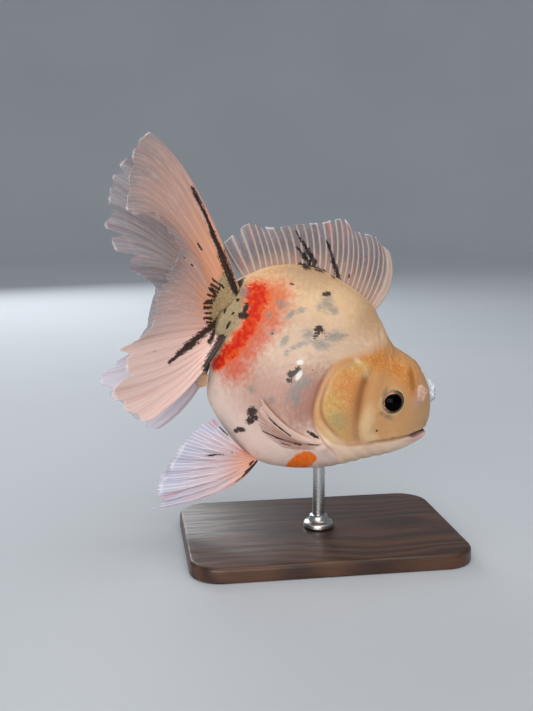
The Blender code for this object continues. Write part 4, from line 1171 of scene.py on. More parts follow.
# %% Fin group
fin_film, given, result = new_group(
    "fin_film",
    {"Color": ("Root", "Middle", "Edge", "Ray Colour", "Low Colour"),
     "Float": ("Rays", "Ray Share", "Web Share", "Lower Tint and Painted Light", "Pink", "Root Alpha", "Edge Alpha")},
    {"Color": ("Colour",), "Float": ("Alpha", "Height")})
tree = fin_film
across, along, _ = add(tree, "SeparateXYZ", {0: add(tree, "UVMap", uv_map="fan").outputs[0]}).outputs
ray, reach, stem = (drawn(tree, label) for label in ("ray", "streak", "stem"))
by_ray = times(tree, across, given["Rays"])
strand = add(tree, "CombineXYZ", {0: by_ray, 1: times(tree, along, 1.6)}).outputs[0]
fine_strand = add(tree, "CombineXYZ", {0: times(tree, by_ray, 5.0),
                                       1: times(tree, along, 9.0)}).outputs[0]
broad, fine = cloud(tree, strand, 1.0, 2.0), cloud(tree, fine_strand, 1.0, 3.0)
grain = cloud(tree, add(tree, "TexCoord").outputs["Object"], 1300.0, 2.0)
from_root = uneven(tree, along, broad, 0.5)
colour = grade(tree, from_root, 0.02, 0.5, given["Root"], given["Middle"])
colour = grade(tree, from_root, 0.5, 0.98, colour, given["Edge"])
web = times(tree, maths(tree, "SUBTRACT", 1.0, ray), ramp(tree, along, 0.1, 0.7))
pink_ray = times(tree, ramp(tree, broad, 0.58, 0.70), given["Pink"])
stain = uneven(tree, uneven(tree, reach, grain, 1.5), fine, 2.6)
stain = ramp(tree, stain, 0.6, 1.35, 1.0, 0.0)
stem = ramp(tree, maths(tree, "MULTIPLY_ADD", grain, 0.8, stem), 0.9, 1.6, 1.0, 0.0)
stem_paint = grade(tree, grain, 0.2, 0.8, (132, 114, 80), (176, 156, 116))
rim_light = ramp(tree, along, 0.97, 1.0)
colour = coats_of_paint(tree, colour, (
    # Lower lobe: partly its own paler tint, partly painted light for a lobe that faces down.
    (ramp(tree, across, 0.5, 0.75), given["Low Colour"], given["Lower Tint and Painted Light"]),
    (web, (126, 126, 140), given["Web Share"]),
    (ray, given["Ray Colour"], given["Ray Share"]),
    (ramp(tree, fine, 0.5, 0.8), (228, 210, 202), 0.26),
    (pink_ray, (216, 118, 100), 0.45), (rim_light, (222, 218, 224), 0.55),
    (stem, stem_paint, 0.9), (stain, (26, 16, 16), 0.96)))
alpha = add(tree, "MapRange", {"Value": from_root, "From Min": 0.1, "From Max": 1.0,
                               "To Min": given["Root Alpha"],
                               "To Max": given["Edge Alpha"]}).outputs["Result"]
denser = maths(tree, "MAXIMUM", times(tree, ray, given["Ray Share"]), times(tree, rim_light, 0.5))
alpha = maths(tree, "MULTIPLY_ADD", denser, 0.35, alpha)
alpha = maths(tree, "MAXIMUM", alpha, times(tree, stain, 0.9))
for socket, value in (("Colour", colour), ("Alpha", maths(tree, "MINIMUM", alpha, 1.0)),
                      ("Height", maths(tree, "MULTIPLY_ADD", fine, 0.6, ray))):
    tree.links.new(value, result[socket])
print("fin group of", len(tree.nodes), "nodes")

# %% Fin material
def fin_material(name, rays, root, middle, edge, ray_colour, ray_share, pink, alphas,
                 web_share=0.1, bump_depth=0.00006, lower_tint_and_painted_light=0.0, low_colour=(250, 212, 200)):
    """Material of one fin: the shared film with that fin's colours, and a paler tint with painted
    light on a lower lobe.
    """
    material, tree, shader, place = new_material(name, {
        "Subsurface Weight": 0.15, "Subsurface Radius": (1.0, 0.5, 0.4),
        "Subsurface Scale": 0.001, "Coat Roughness": 0.15, "IOR": 1.34})
    film = add(tree, "Group", {
        "Rays": rays, "Root": paint(*root), "Middle": paint(*middle), "Edge": paint(*edge),
        "Ray Colour": paint(*ray_colour), "Ray Share": ray_share, "Web Share": web_share,
        "Pink": pink, "Lower Tint and Painted Light": lower_tint_and_painted_light, "Low Colour": paint(*low_colour),
        "Root Alpha": alphas[0], "Edge Alpha": alphas[1]}, node_tree=fin_film).outputs
    tree.links.new(film["Alpha"], shader.inputs["Alpha"])
    gloss = cloud(tree, place, 260.0)
    dress(shader, film["Colour"], spread(tree, gloss, 0.34, 0.5),
          spread(tree, gloss, 0.08, 0.25), (film["Height"], bump_depth, 0.5))
    return material


print("fin material ready")

# %% [markdown]
# ## The fins' guides
# Each row of a table below is one guide ray: its root, its middle and its tip, as x, y, z. An
# outline gives the length of the rays at places across the fin, so it holds the splits and
# tears of a worn rim. A streak is a half width and the places it runs through, across the fin
# and along it.

# %% Guides of the tail
TAIL_RAYS = 28
TAIL_RIGHT = (
    ((-43.6, -4, 21.6), (-70, -6, 48.6), (-91, -9, 59.8)),
    ((-44.8, -4.6, 18.4), (-74.6, -9, 46), (-94, -13, 53.4)),
    ((-46, -5, 15.4), (-75.4, -12, 37.6), (-91.8, -18, 40.6)),
    ((-46.6, -5.4, 12.8), (-72, -15, 30.8), (-88.4, -22, 31.6)),
    ((-46.9, -5.6, 11), (-66.4, -14.6, 27.6), (-78.8, -20, 32.8)),
    ((-47, -5.6, 9.8), (-60.6, -12.6, 22.8), (-68.4, -17, 24)),
    ((-47, -5.8, 8.2), (-60.6, -13, 16.6), (-68.4, -18, 18.8)),
    ((-46.8, -6, 5.4), (-59.2, -14.6, 10.2), (-69.8, -22, 8.8)),
    ((-46.4, -6.4, 2.8), (-57.6, -16.6, 1.2), (-68.8, -26, -3.4)),
    ((-45.8, -6.6, -0.4), (-60, -19, -5.4), (-76.8, -31, -13.8)),
    ((-44.7, -7.2, -2.4), (-57.6, -19, -12), (-72.4, -30, -20.2)),
    ((-43.4, -7.6, -3), (-56.1, -19.8, -18), (-74.7, -32, -28.1)),
    ((-41.9, -7.9, -2.4), (-50.7, -18.6, -19.6), (-63.6, -31, -35)),
    ((-40.3, -8, -1), (-46, -16.6, -16.7), (-56.9, -29.6, -32.3)))
TAIL_LEFT = (
    ((-43.6, 3.4, 21.6), (-69, 4.4, 47.8), (-91.4, 6, 59.2)),
    ((-44.8, 4, 18.4), (-73.4, 6.4, 42.6), (-95.6, 9, 49.4)),
    ((-46, 4.6, 15.4), (-75.6, 8, 32.4), (-98.2, 11, 39.8)),
    ((-46.6, 5, 12.8), (-73.6, 8.6, 26.6), (-96, 12, 31)),
    ((-46.9, 5.2, 11), (-71, 9, 21.6), (-94.8, 13, 23.2)),
    ((-47, 5.2, 9.8), (-66.6, 9, 16.4), (-83.6, 12.6, 11.6)),
    ((-47, 5.4, 8.2), (-62.6, 9.4, 11.8), (-75, 12.6, 9.2)),
    ((-46.8, 5.6, 5.4), (-59.4, 9.6, 6), (-69.4, 12.4, 3.6)),
    ((-46.2, 5.8, 1.4), (-57, 10.4, -6.6), (-69.2, 15, -17.2)),
    ((-45.4, 6.4, -1.4), (-58, 11.6, -15.4), (-75.4, 17, -28)),
    ((-44.4, 7, -2.8), (-57, 12.6, -21.2), (-77, 18, -36.6)),
    ((-43.2, 7.4, -3.2), (-53, 13, -25.4), (-66.6, 18, -42.8)),
    ((-41.8, 7.7, -2.6), (-45.4, 13.4, -27.2), (-56, 17, -48.7)),
    ((-40.3, 8, -1.2), (-39.8, 14.4, -26.8), (-49.2, 16, -47.1)))
TAIL_RIGHT_EDGE = (
    (0, 0.99), (0.04, 1), (0.12, 0.985), (0.218, 1), (0.225, 0.93), (0.24, 0.99), (0.31, 1),
    (0.318, 0.96), (0.345, 0.99), (0.352, 0.90), (0.362, 0.98), (0.449, 1), (0.455, 0.95),
    (0.47, 1), (0.503, 1), (0.512, 0.88), (0.523, 0.98), (0.535, 0.93), (0.557, 0.97),
    (0.618, 1), (0.668, 0.97), (0.674, 0.92), (0.688, 1.04), (0.70, 1), (0.715, 0.93),
    (0.753, 1.01), (0.778, 1), (0.784, 0.95), (0.80, 1), (0.835, 1.01), (0.87, 1),
    (0.876, 0.95), (0.89, 1), (0.922, 1), (1, 0.98))
TAIL_LEFT_EDGE = (
    (0, 0.98), (0.06, 1), (0.228, 1), (0.2355, 0.82), (0.243, 0.99), (0.316, 1),
    (0.323, 0.87), (0.33, 0.98), (0.358, 1), (0.367, 0.81), (0.376, 0.99), (0.45, 1),
    (0.56, 0.98), (0.64, 1), (0.70, 0.97), (0.707, 0.92), (0.715, 1), (0.79, 1),
    (0.86, 0.97), (0.92, 1), (1, 0.97))
print("tail guides:", len(TAIL_RIGHT), "on the right and", len(TAIL_LEFT), "on the left")

# %% Marks of the tail
TAIL_STREAKS = (
    (0.8, (0.026, 0.47), (0.034, 0.32), (0.044, 0.2)), (1.2, (0.044, 0.22), (0.048, 0.10)),
    (1.6, (0.046, 0.12), (0.05, 0), (0.05, -0.04)),
    (1.7, (0.55, -0.08), (0.635, -0.02), (0.685, 0.09), (0.733, 0.23), (0.753, 0.34)),
    (1.3, (0.75, 0.32), (0.768, 0.44)), (0.8, (0.768, 0.42), (0.79, 0.54)),
    (1.9, (0.87, -0.08), (0.93, -0.03), (0.968, 0.08), (0.976, 0.19), (0.985, 0.28)),
    (1.3, (0.983, 0.26), (0.99, 0.38)), (1.1, (0.69, -0.04), (0.76, 0), (0.80, 0.05)),
    (0.4, (0.145, 0.20), (0.146, 0.235)), (0.3, (0.415, 0.76), (0.416, 0.79)),
    (0.35, (0.417, 0.54), (0.418, 0.57)), (0.3, (0.728, 0.67), (0.73, 0.70)))
TAIL_STEM = ((3.6, (0.09, 0.02), (0.20, -0.01), (0.35, 0), (0.50, 0), (0.60, -0.03)),
             (3.2, (0.07, -0.05), (0.30, -0.07), (0.50, -0.07), (0.62, -0.07)))
# Short dark ticks stand in an arc round the stem, each from an inner to an outer place.
TICKS = 11
TICK_SHARE = (0, 0.25, 0.5, 0.75, 1)
TICK_INNER = (0.14, 0.26, 0.42, 0.52, 0.62), (0.01, 0.03, 0.06, 0.07, 0)
TICK_OUTER = (0.21, 0.37, 0.50, 0.56, 0.62), (0.09, 0.15, 0.19, 0.21, 0.13)
for tick in range(TICKS):
    share = tick / (TICKS - 1)
    inner, outer = ([np.interp(share, TICK_SHARE, row) for row in ends]
                    for ends in (TICK_INNER, TICK_OUTER))
    outer[1] -= 0.03 * (tick % 3) / 2
    TAIL_STREAKS += ((0.46 + 0.14 * (tick % 2), inner, outer),)
print(len(TAIL_STREAKS), "black streaks on the tail")

# %% Tail pieces
TAIL_RUFFLES = ((1.0, 2.6, 0.1, 1.5), (0.6, 5.7, 0.4, 1.8), (0.35, 11.0, 0.0, 2.0))

TAIL_STYLE = {"per_ray": 14, "ray_thick": (0.75, 0.12), "web_thick": (0.48, 0.09), "pleat": 0.09,
              "scallop": 0.008, "ray_half": (0.15, 0.05)}
# Both tails lighten their lower lobes with a paler tint and painted light.
material_tail = fin_material("tail_film", TAIL_RAYS, (216, 150, 114), (188, 150, 136),
                             (142, 132, 131), (222, 188, 174), ray_share=0.14, pink=0.5,
                             alphas=(0.97, 0.80), lower_tint_and_painted_light=0.8)
make_fin("tail_right", TAIL_RIGHT, TAIL_RAYS, material_tail,
         ("tail_fin_right_upper", "tail_fin_right_lower"), ruffles=TAIL_RUFFLES, torn=0.022,
         outline=TAIL_RIGHT_EDGE, streaks=TAIL_STREAKS, stem_strokes=TAIL_STEM, **TAIL_STYLE)
material_far = fin_material("far_tail_film", TAIL_RAYS, (184, 138, 114), (134, 122, 120),
                            (132, 130, 136), (172, 162, 160), ray_share=0.25, pink=0.2,
                            alphas=(0.94, 0.68), lower_tint_and_painted_light=0.9, low_colour=(216, 208, 220))
make_fin("tail_left", TAIL_LEFT, TAIL_RAYS, material_far,
         ("tail_fin_left_upper", "tail_fin_left_lower"), torn=0.05,
         ruffles=((0.9, 2.2, 0.3, 1.5), (0.6, 5.1, 0.0, 1.8), (0.3, 12.0, 0.5, 2.0)),
         outline=TAIL_LEFT_EDGE, streaks=TAIL_STREAKS[:3] + TAIL_STREAKS[6:], **TAIL_STYLE)

# %% Dorsal fin
DORSAL_RAYS, DORSAL_LOBES = 28, 14
DORSAL = (
    ((13.4, 0, 27.6), (15.2, 0.2, 40), (9.8, 0.8, 50.2)),
    ((8.4, 0, 30), (8, -0.5, 44), (3, -1, 53.6)),
    ((2, 0, 32.2), (0.6, -0.2, 44), (-4.6, 0.2, 53.2)),
    ((-4.6, 0, 33.6), (-7, 0.5, 45), (-11.8, 1.4, 55.6)),
    ((-12, 0, 34.3), (-14.8, 0.4, 43.5), (-19, 0.2, 51.2)),
    ((-20, 0, 33.8), (-23.6, -0.2, 41.6), (-28.4, -1.2, 48)),
    ((-28, 0, 31.4), (-32, -0.4, 37.6), (-36.8, -0.4, 42.8)),
    ((-34.6, 0, 27.4), (-39, 0, 34.2), (-45, 0.8, 42)),
    ((-40.4, 0, 22.4), (-45.8, 0.2, 26.2), (-51.6, 1, 31)))
DORSAL_STREAKS = (
    (1, (0.555, -0.03), (0.555, 0.14), (0.595, 0.37)), (0.6, (0.59, 0.34), (0.625, 0.64)),
    (0.35, (0.625, 0.62), (0.635, 0.81)), (0.9, (0.585, -0.03), (0.585, 0.12), (0.62, 0.25)),
    (0.45, (0.615, 0.24), (0.65, 0.42)), (0.9, (0.385, 0), (0.405, 0.12), (0.438, 0.25)),
    (0.6, (0.43, 0.22), (0.468, 0.55)), (0.35, (0.465, 0.5), (0.495, 0.82)),
    (1.3, (0.50, -0.02), (0.57, 0.02), (0.64, 0)), (0.4, (0.31, 0.12), (0.315, 0.16)))
DORSAL_EDGE = ((0, 0.98), (0.05, 1), (0.2, 1.01), (0.3, 0.97), (0.33, 1.03), (0.42, 1),
               (0.5, 1.02), (0.6, 0.99), (0.66, 0.96), (0.72, 1.03), (0.76, 1.05), (0.8, 0.98),
               (0.9, 1), (1, 1))
NO_FORKS = (1.5, 1.6)         # beyond the rim
material_dorsal = fin_material("dorsal_film", DORSAL_RAYS, (164, 138, 124), (122, 112, 110),
                               (134, 128, 128), (216, 190, 172), ray_share=0.48, pink=0.8,
                               alphas=(0.90, 0.78), web_share=0.3, bump_depth=0.0001)
make_fin("dorsal", DORSAL, DORSAL_RAYS, material_dorsal, ("dorsal_fin",), forks=NO_FORKS,
         steps=80, per_ray=14, ray_thick=(0.9, 0.40), web_thick=(0.36, 0.14),
         lead=(0.5, 0.03, 0.035), ray_half=(0.22, 0.18), pleat=0.15, lobes=DORSAL_LOBES,
         notch=(0.28, 0.48), ruffles=((0.5, 3.0, 0.2, 1.4), (0.3, 7.0, 0.0, 1.8)), scallop=0.15,
         outline=DORSAL_EDGE, streaks=DORSAL_STREAKS)

# %% Guides of the paired fins
PELVIC_RAYS, ANAL_RAYS, PECTORAL_RAYS = 9, 7, 14
PELVIC = (
    ((-12.4, -8, -42.9), (-23.6, -13, -57.6), (-45.2, -16, -69.8)),
    ((-13.4, -8.1, -42.7), (-26.2, -14, -54.8), (-44.2, -17.6, -66.2)),
    ((-14.4, -8.2, -42.4), (-28.2, -14.4, -52), (-45.6, -18, -59.8)),
    ((-15.4, -8.3, -41.9), (-28.8, -14.4, -47.8), (-44.4, -18, -53.4)),
    ((-16.4, -8.4, -41.3), (-28.6, -14, -43.6), (-43, -17, -45.2)),
    ((-17.3, -8.5, -40.7), (-27.6, -13.2, -39.2), (-41.4, -15.4, -36.8)),
    ((-18.1, -8.6, -40), (-25.8, -12.2, -35.6), (-35.4, -13.6, -30)))
ANAL = (
    ((-40.4, -3.4, -21.4), (-42.4, -3.8, -22.4), (-45.4, -4.2, -23)),
    ((-41, -3.4, -19.2), (-43.4, -3.8, -20), (-47, -4.2, -20.4)),
    ((-41.4, -3.4, -17), (-43.8, -3.6, -17.8), (-46.6, -4, -18)))
PECTORAL = (
    ((4.2, -24.6), (-8.4, -23.6), (-22, -16.6)), ((4.8, -25.8), (-7.6, -26.2), (-21.2, -21.8)),
    ((4.6, -26.8), (-7, -28.2), (-17.6, -28)), ((4, -28.2), (-2.6, -30), (-8.6, -31)))
PECTORAL_LIFT = (-0.4, 1.3, 2.8)       # how far root, middle and tip stand off the flank
PECTORAL_STREAKS = ((0.3, (0.20, 0.90), (0.235, 0.72), (0.26, 0.48)),
                    (0.5, (0.30, 0.20), (0.30, 0.08), (0.34, 0.02)),
                    (0.3, (0.66, 0.98), (0.67, 0.7)), (0.45, (0.67, 0.75), (0.68, 0.30)),
                    (0.22, (0.84, 0.8), (0.86, 0.6)))
LEFT_PELVIC_TURN, LEFT_PELVIC_FOLD = math.radians(-15.0), 0.55
FLANK_STATIONS = 2001
PELVIC_STREAKS = ((0.6, (0.02, -0.02), (0.08, 0.08), (0.05, 0.2)), (0.4, (0.05, 0.18), (0.05, 0.3)),
                  (0.35, (0.66, 0.68), (0.71, 0.5), (0.765, 0.32)),
                  (0.3, (0.98, 0.6), (0.98, 0.8)), (0.4, (0.25, 0), (0.22, 0.06)))
print("pelvic", len(PELVIC), "anal", len(ANAL), "pectoral", len(PECTORAL), "guides")

# %% The other side, and the flank under a fin
def mirrored(guides, turn=0.0, fold=0.0):
    """Guide rays of the other side's fin, folded towards its first ray and turned about it."""
    result = []
    for ray in np.array(guides):
        points = ray - ray[0]
        points += (np.array(guides[0]) - guides[0][0] - points) * fold
        x = points[:, 0] * math.cos(turn) + points[:, 2] * math.sin(turn)
        z = points[:, 2] * math.cos(turn) - points[:, 0] * math.sin(turn)
        result.append(np.stack([ray[0, 0] + x, -(ray[0, 1] + points[:, 1]), ray[0, 2] + z], -1))
    return result


def flank_at(x, z):
    """Half width of the body at a place in side view."""
    stations = np.linspace(0, LAST_STATION, FLANK_STATIONS)
    station = np.interp(x, through(BODY_STATIONS, stations)[:, 0], stations)
    _, back, belly, half = through(BODY_STATIONS, station)
    level = belly + WIDEST * (back - belly)
    reach = back - level if z >= level else level - belly
    crown = CROWN_POWER * ease(CROWN_FROM, CROWN_TO, x)
    power = BACK_POWER + crown if z >= level else BELLY_POWER
    return half * (1 - min(abs(z - level) / reach, 1.0) ** power) ** (1 / power)


print("half width of the body at the pectoral fin's root", flank_at(*PECTORAL[0][0]).round(2))

# %% Pelvic fins
# Pelvic paints are lighter than the fins' own pale pinks and blue-whites: painted light against the
# shade under the body.
material_pelvic = fin_material("pelvic_film", PELVIC_RAYS, (240, 168, 136), (228, 204, 208),
                               (206, 206, 228), (244, 234, 238), ray_share=0.42, pink=1.1,
                               alphas=(0.94, 0.78), web_share=0.2, bump_depth=0.0001)
PELVIC_STYLE = {"steps": 90, "per_ray": 24, "pleat": 0.4, "scallop": 0.025,
                "ray_thick": (1.0, 0.2), "forks": (0.34, 0.62)}
PELVIC_EDGE = ((0, 1.0), (0.14, 0.99), (0.155, 0.95), (0.2, 1.0), (0.4, 1.04), (0.47, 0.99),
               (0.55, 1.05), (0.7, 1.03), (0.8, 0.98), (0.9, 1.0), (1.0, 0.97))
make_fin("pelvic_right", PELVIC, PELVIC_RAYS, material_pelvic, ("pelvic_fin_right",),
         ruffles=((0.8, 2.2, 0.0, 1.3), (0.4, 4.6, 0.3, 1.7)), outline=PELVIC_EDGE,
         streaks=PELVIC_STREAKS, **PELVIC_STYLE)
make_fin("pelvic_left", mirrored(PELVIC, LEFT_PELVIC_TURN, LEFT_PELVIC_FOLD), PELVIC_RAYS,
         material_pelvic, ("pelvic_fin_left",), ruffles=((0.6, 2.0, 0.4, 1.3),),
         outline=PELVIC_EDGE, streaks=PELVIC_STREAKS[:1], **PELVIC_STYLE)

# %% Anal and pectoral fins
material_anal = fin_material("anal_film", ANAL_RAYS, (224, 168, 120), (210, 176, 156),
                             (200, 190, 196), (226, 206, 196), ray_share=0.4, pink=0.4,
                             alphas=(0.92, 0.74))
material_pectoral = fin_material("pectoral_film", PECTORAL_RAYS, (206, 160, 140),
                                 (190, 144, 124), (198, 158, 144), (244, 208, 190),
                                 ray_share=0.66, pink=0.3, alphas=(0.82, 0.40))
for side_name, sign in (("right", -1), ("left", 1)):
    make_fin("anal_" + side_name, ANAL if sign < 0 else mirrored(ANAL), ANAL_RAYS, material_anal,
             ("anal_fin_" + side_name,), steps=40, per_ray=12, pleat=0.15, inset=0.15,
             ray_thick=(0.8, 0.2), outline=((0.0, 0.7), (1.0, 0.7)))
    guides = [[(x, sign * (flank_at(x, z) + lift), z) for (x, z), lift in zip(ray, PECTORAL_LIFT)]
              for ray in PECTORAL]
    make_fin("pectoral_" + side_name, guides, PECTORAL_RAYS, material_pectoral,
             ("pectoral_fin_" + side_name,), steps=60, per_ray=12, pleat=0.12,
             ray_thick=(0.8, 0.16), ruffles=((0.3, 2.0, 0.2, 1.4),), scallop=0.03,
             streaks=PECTORAL_STREAKS, lead=(1.3, 0.13, 0.18))

# %% [markdown]
# ## Eyes
# Each eye is a wet ball set two thirds deep in its socket, with a slightly bulging
# front. The pupil is large and jet black, and the iris is a narrow freckled ring that shows
# most towards the tail. One turned grid makes the ball, and its flat map's height is the
# angle from the pupil's middle, so the rings of colour need nothing else.

# %% Eye material
EYE_RADIUS, CORNEA = 5.2, 0.35
PUPIL_ANGLE, IRIS_ANGLE = 37.0, 56.0
material_eye, tree, shader, place = new_material("wet_eye", {
    "Coat Weight": 0.06, "Coat Roughness": 0.05, "IOR": 1.36, "Specular IOR Level": 0.02})
flat = add(tree, "UVMap", uv_map="polar").outputs[0]
turned, polar, _ = add(tree, "SeparateXYZ", {0: flat}).outputs
angle = times(tree, polar, 180.0)
freckle, ripple = cloud(tree, place, 1900.0, 3.0), cloud(tree, place, 700.0, 2.0)
rough_angle = uneven(tree, angle, ripple, 3.0)
frontness = maths(tree, "COSINE", times(tree, turned, 2 * math.pi))
iris = grade(tree, freckle, 0.42, 0.62, (206, 158, 130), (96, 62, 48))
iris = coats_of_paint(tree, iris, (
    (ramp(tree, frontness, -0.6, 0.3), (52, 38, 32), 0.85),
    (ramp(tree, rough_angle, IRIS_ANGLE - 9, IRIS_ANGLE - 3), (160, 128, 110), 0.6),
    (ramp(tree, rough_angle, IRIS_ANGLE - 4, IRIS_ANGLE), (40, 30, 28), 0.9)))
in_iris = ramp(tree, angle, PUPIL_ANGLE - 1.0, PUPIL_ANGLE + 1.0)
dress(shader, blend_colour(tree, in_iris, (3, 2, 3), iris),
      spread(tree, freckle, 0.08, 0.2), bump=(ripple, 0.00004, 0.3))
print(material_eye.name, "has", len(tree.nodes), "nodes")

# %% Eye pieces
EYE_FORWARD, EYE_UPWARD = math.radians(-2.0), math.radians(1.0)
EYE_RINGS, EYE_TURNS, POLE_GAP = 60, 72, 0.01
CORNEA_FROM, CORNEA_TO = math.radians(30), math.radians(62)
for side_name, sign in (("right", -1), ("left", 1)):
    axis = np.array((math.sin(EYE_FORWARD), sign * math.cos(EYE_FORWARD), EYE_UPWARD))
    axis /= np.linalg.norm(axis)
    ahead = np.array((math.cos(EYE_FORWARD), -sign * math.sin(EYE_FORWARD), 0.0))
    ways, polar_angle = ball_ways(EYE_RINGS, EYE_TURNS, POLE_GAP, axis, ahead,
                                  np.cross(axis, ahead))
    radius = EYE_RADIUS + CORNEA * (1 - ease(CORNEA_FROM, CORNEA_TO, polar_angle))
    points = node_middle("eye_" + side_name) + radius * ways
    cap_places = [np.tile((0.5, level), EYE_TURNS) for level in (0.0, 1.0)]
    eye = make_piece("eyeball_" + side_name, points, closed_rings(EYE_RINGS, EYE_TURNS),
                     material_eye, np.concatenate(
                         [grid_places(EYE_RINGS, EYE_TURNS + 1).ravel(), *cap_places]),
                     map_name="polar")
    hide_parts("eye_" + side_name)

# %% [markdown]
# ## Nostril flaps and the white tuft
# Orandas carry small fleshy flaps at the nostrils, and this one has a ragged white tuft at
# the very tip of its snout. Both are soft lumps with lobes: a grid of directions pushed in
# and out by noise does well, because no two lobes should be alike.

# %% Soft materials
def soft_material(name, pattern, dark, light, roughness, bump, constants):
    """Soft, wet material mottled with two paints, in a pattern of some scale."""
    material, tree, shader, place = new_material(name, {"Coat Roughness": 0.2, **constants})
    patchy = cloud(tree, place, pattern, 3.0)
    dress(shader, grade(tree, patchy, 0.35, 0.65, dark, light),
          spread(tree, patchy, *roughness), bump=(patchy, *bump))
    return material


material_flap = soft_material(
    "soft_flap", 700.0, (178, 140, 116), (200, 162, 142), (0.35, 0.55), (0.0002, 0.6),
    {"Subsurface Weight": 0.15, "Subsurface Radius": (1.0, 0.5, 0.4), "Subsurface Scale": 0.001,
     "Coat Weight": 0.1, "IOR": 1.34})
material_tuft = soft_material(
    "white_tuft", 1400.0, (214, 220, 228), (250, 250, 252), (0.4, 0.6), (0.0003, 0.8),
    {"Subsurface Weight": 0.2, "Subsurface Radius": (1.0, 0.9, 0.9), "Subsurface Scale": 0.001,
     "Coat Weight": 0.2, "IOR": 1.38})
print("materials:", material_flap.name, material_tuft.name)

# %% Lumps
LUMP_RINGS, LUMP_TURNS, LUMP_POLE_GAP = 48, 64, 0.02


def soft_lump(name, node, material, shares, rough, bump_size, seed, lean=0.0):
    """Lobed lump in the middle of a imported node; its half sizes are shares of the node's width."""
    low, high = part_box(node)
    half = (high - low)[1] / 2 / MM
    ways, _ = ball_ways(LUMP_RINGS, LUMP_TURNS, LUMP_POLE_GAP, (0, 1, 0), (1, 0, 0), (0, 0, 1))
    grown = 1 + rough * (1 - 2 * np.abs(bumps(ways * half, bump_size, seed)))
    offset = ways * half * np.array(shares) * grown[..., None]
    offset[..., 0] += lean * offset[..., 2]
    lump = make_piece(name, node_middle(node) + offset,
                      closed_rings(LUMP_RINGS, LUMP_TURNS, flip=True), material)
    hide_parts(node)


for side_name, seed in (("right", 3.0), ("left", 9.0)):
    soft_lump("nostril_lobe_" + side_name, "nostril_flap_" + side_name, material_flap,
              (1.2, 0.38, 1.6), rough=0.16, bump_size=1.4, seed=seed)
soft_lump("tuft", "snout_tuft", material_tuft, (1.1, 1.0, 1.7), rough=0.55, bump_size=0.5,
          seed=5.0, lean=-0.4)

# %% [markdown]
# ## Display stand
# A museum fish stands on a turned rod in a small wooden base. The base has an eased edge, the
# kind a router bit leaves, and an oiled walnut finish. The rod and its collar are brushed
# steel. All three are rings of points again, since each is either turned or run round an
# outline.

# %% Stand materials
material_wood, tree, shader, place = new_material("oiled_walnut", {
    "Coat Roughness": 0.25, "IOR": 1.45})
bend = cloud(tree, place, 9.0, 2.0, stretch=(1.0, 3.0, 3.0))
rings_place = add(tree, "Mapping", {"Vector": place, "Scale": (3.0, 26.0, 26.0)}).outputs[0]
shift = add(tree, "CombineXYZ", {1: times(tree, bend, 1.6)}).outputs[0]
rings_place = add(tree, "VectorMath", {0: rings_place, 1: shift}, operation="ADD").outputs[0]
grain_lines = add(tree, "TexWave", {"Vector": rings_place, "Scale": 1.4, "Distortion": 5.0,
                                    "Detail": 3.0, "Detail Scale": 1.2},
                  bands_direction="Y").outputs["Fac"]
fibres = cloud(tree, place, 60.0, 4.0, stretch=(1.0, 18.0, 18.0))
colour = blend_colour(tree, grain_lines, (58, 36, 24), (92, 60, 40))
dress(shader, coats_of_paint(tree, colour, ((fibres, (42, 26, 18), 0.55),)),
      spread(tree, fibres, 0.34, 0.5), spread(tree, fibres, 0.25, 0.1),
      (maths(tree, "MULTIPLY_ADD", grain_lines, 0.3, fibres), 0.0002, 0.4))

material_steel, tree, shader, place = new_material("brushed_steel", {"Metallic": 1.0, "IOR": 2.5})
brushed = cloud(tree, place, 400.0, 3.0, stretch=(1.0, 1.0, 12.0))
dress(shader, blend_colour(tree, brushed, (176, 176, 174), (206, 206, 204)),
      spread(tree, brushed, 0.22, 0.36), bump=(brushed, 0.00003, 0.4))
print("materials:", material_wood.name, material_steel.name)

# %% Base of the stand
def stacked(name, rings, material, node):
    """Closed piece through rings of points in the world's millimetres, from the bottom up."""
    rings = np.array(rings)
    piece = make_piece(name, rings, closed_rings(*rings.shape[:2]), material, in_world=True)
    piece.data.set_sharp_from_angle(angle=CREASE_ANGLE)
    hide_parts(node)


BASE_CORNER, EASED_EDGE, FOOT_BEVEL = 12.0, 1.6, 0.6
EDGE_STEPS, CORNER_STEPS, ROD_TURNS = 7, 12, 64
low, high = (np.array(corner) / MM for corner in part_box("stand_base"))
half_size = (high - low)[:2] / 2


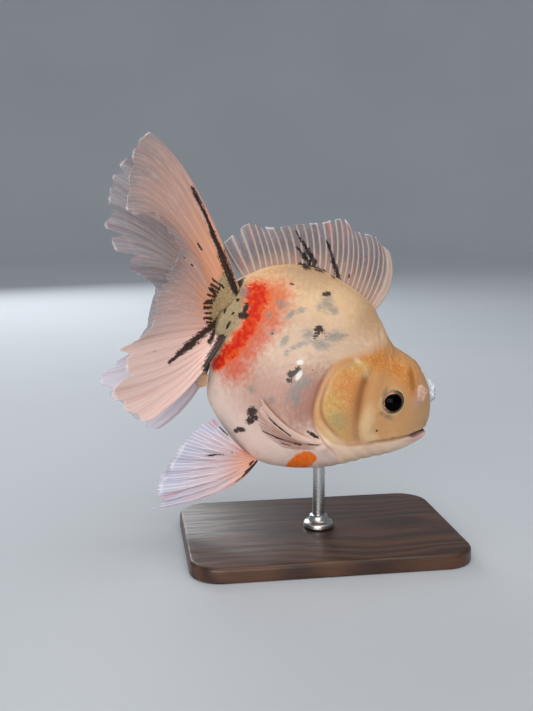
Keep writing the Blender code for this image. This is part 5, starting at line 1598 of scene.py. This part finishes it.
def base_ring(inset, height):
    """Round-cornered outline of the base, pulled in by an inset."""
    ring = []
    for quarter, (right, up) in enumerate(((1, 1), (-1, 1), (-1, -1), (1, -1))):
        for step in range(CORNER_STEPS + 1):
            turn = math.pi / 2 * (quarter + step / CORNER_STEPS)
            corner = BASE_CORNER - inset
            ring.append((right * (half_size[0] - BASE_CORNER) + corner * math.cos(turn),
                         up * (half_size[1] - BASE_CORNER) + corner * math.sin(turn), height))
    return ring


rings = [base_ring(FOOT_BEVEL, low[2]), base_ring(0.0, low[2] + FOOT_BEVEL)]
for step in range(EDGE_STEPS + 1):
    turn = math.pi / 2 * step / EDGE_STEPS
    rings.append(base_ring(EASED_EDGE * (1 - math.cos(turn)),
                           high[2] - EASED_EDGE * (1 - math.sin(turn))))
stacked("base_board", rings, material_wood, "stand_base")

# %% Rod and collar
def turned_rings(profile):
    """Rings of a piece turned about the stand's upright axis, from radius and height pairs."""
    turns = [2 * math.pi * k / ROD_TURNS for k in range(ROD_TURNS)]
    return [[(radius * math.cos(turn), radius * math.sin(turn), height) for turn in turns]
            for radius, height in profile]


low, high = (np.array(corner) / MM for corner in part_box("stand_rod"))
rod_radius = (high - low)[0] / 2
stacked("upright_rod", turned_rings([(rod_radius, low[2]), (rod_radius, high[2])]),
        material_steel, "stand_rod")

COLLAR_BEVEL, COLLAR_NECK = 0.3, 0.52
COLLAR_CURVE = ((0.86, 0.46), (0.74, 0.54), (0.66, 0.66), (0.62, 0.86), (0.58, 0.96))
low, high = (np.array(corner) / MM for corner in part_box("stand_collar"))
reach, tall = (high - low)[0] / 2, (high - low)[2]
profile = [(reach - COLLAR_BEVEL, low[2]), (reach, low[2] + COLLAR_BEVEL),
           (reach, low[2] + 0.30 * tall), (reach - COLLAR_BEVEL / 2, low[2] + 0.38 * tall)]
profile += [(out * reach, low[2] + up * tall) for out, up in COLLAR_CURVE]
profile.append((COLLAR_NECK * reach, high[2]))
stacked("collar", turned_rings(profile), material_steel, "stand_collar")

# %% Finish
low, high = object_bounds()
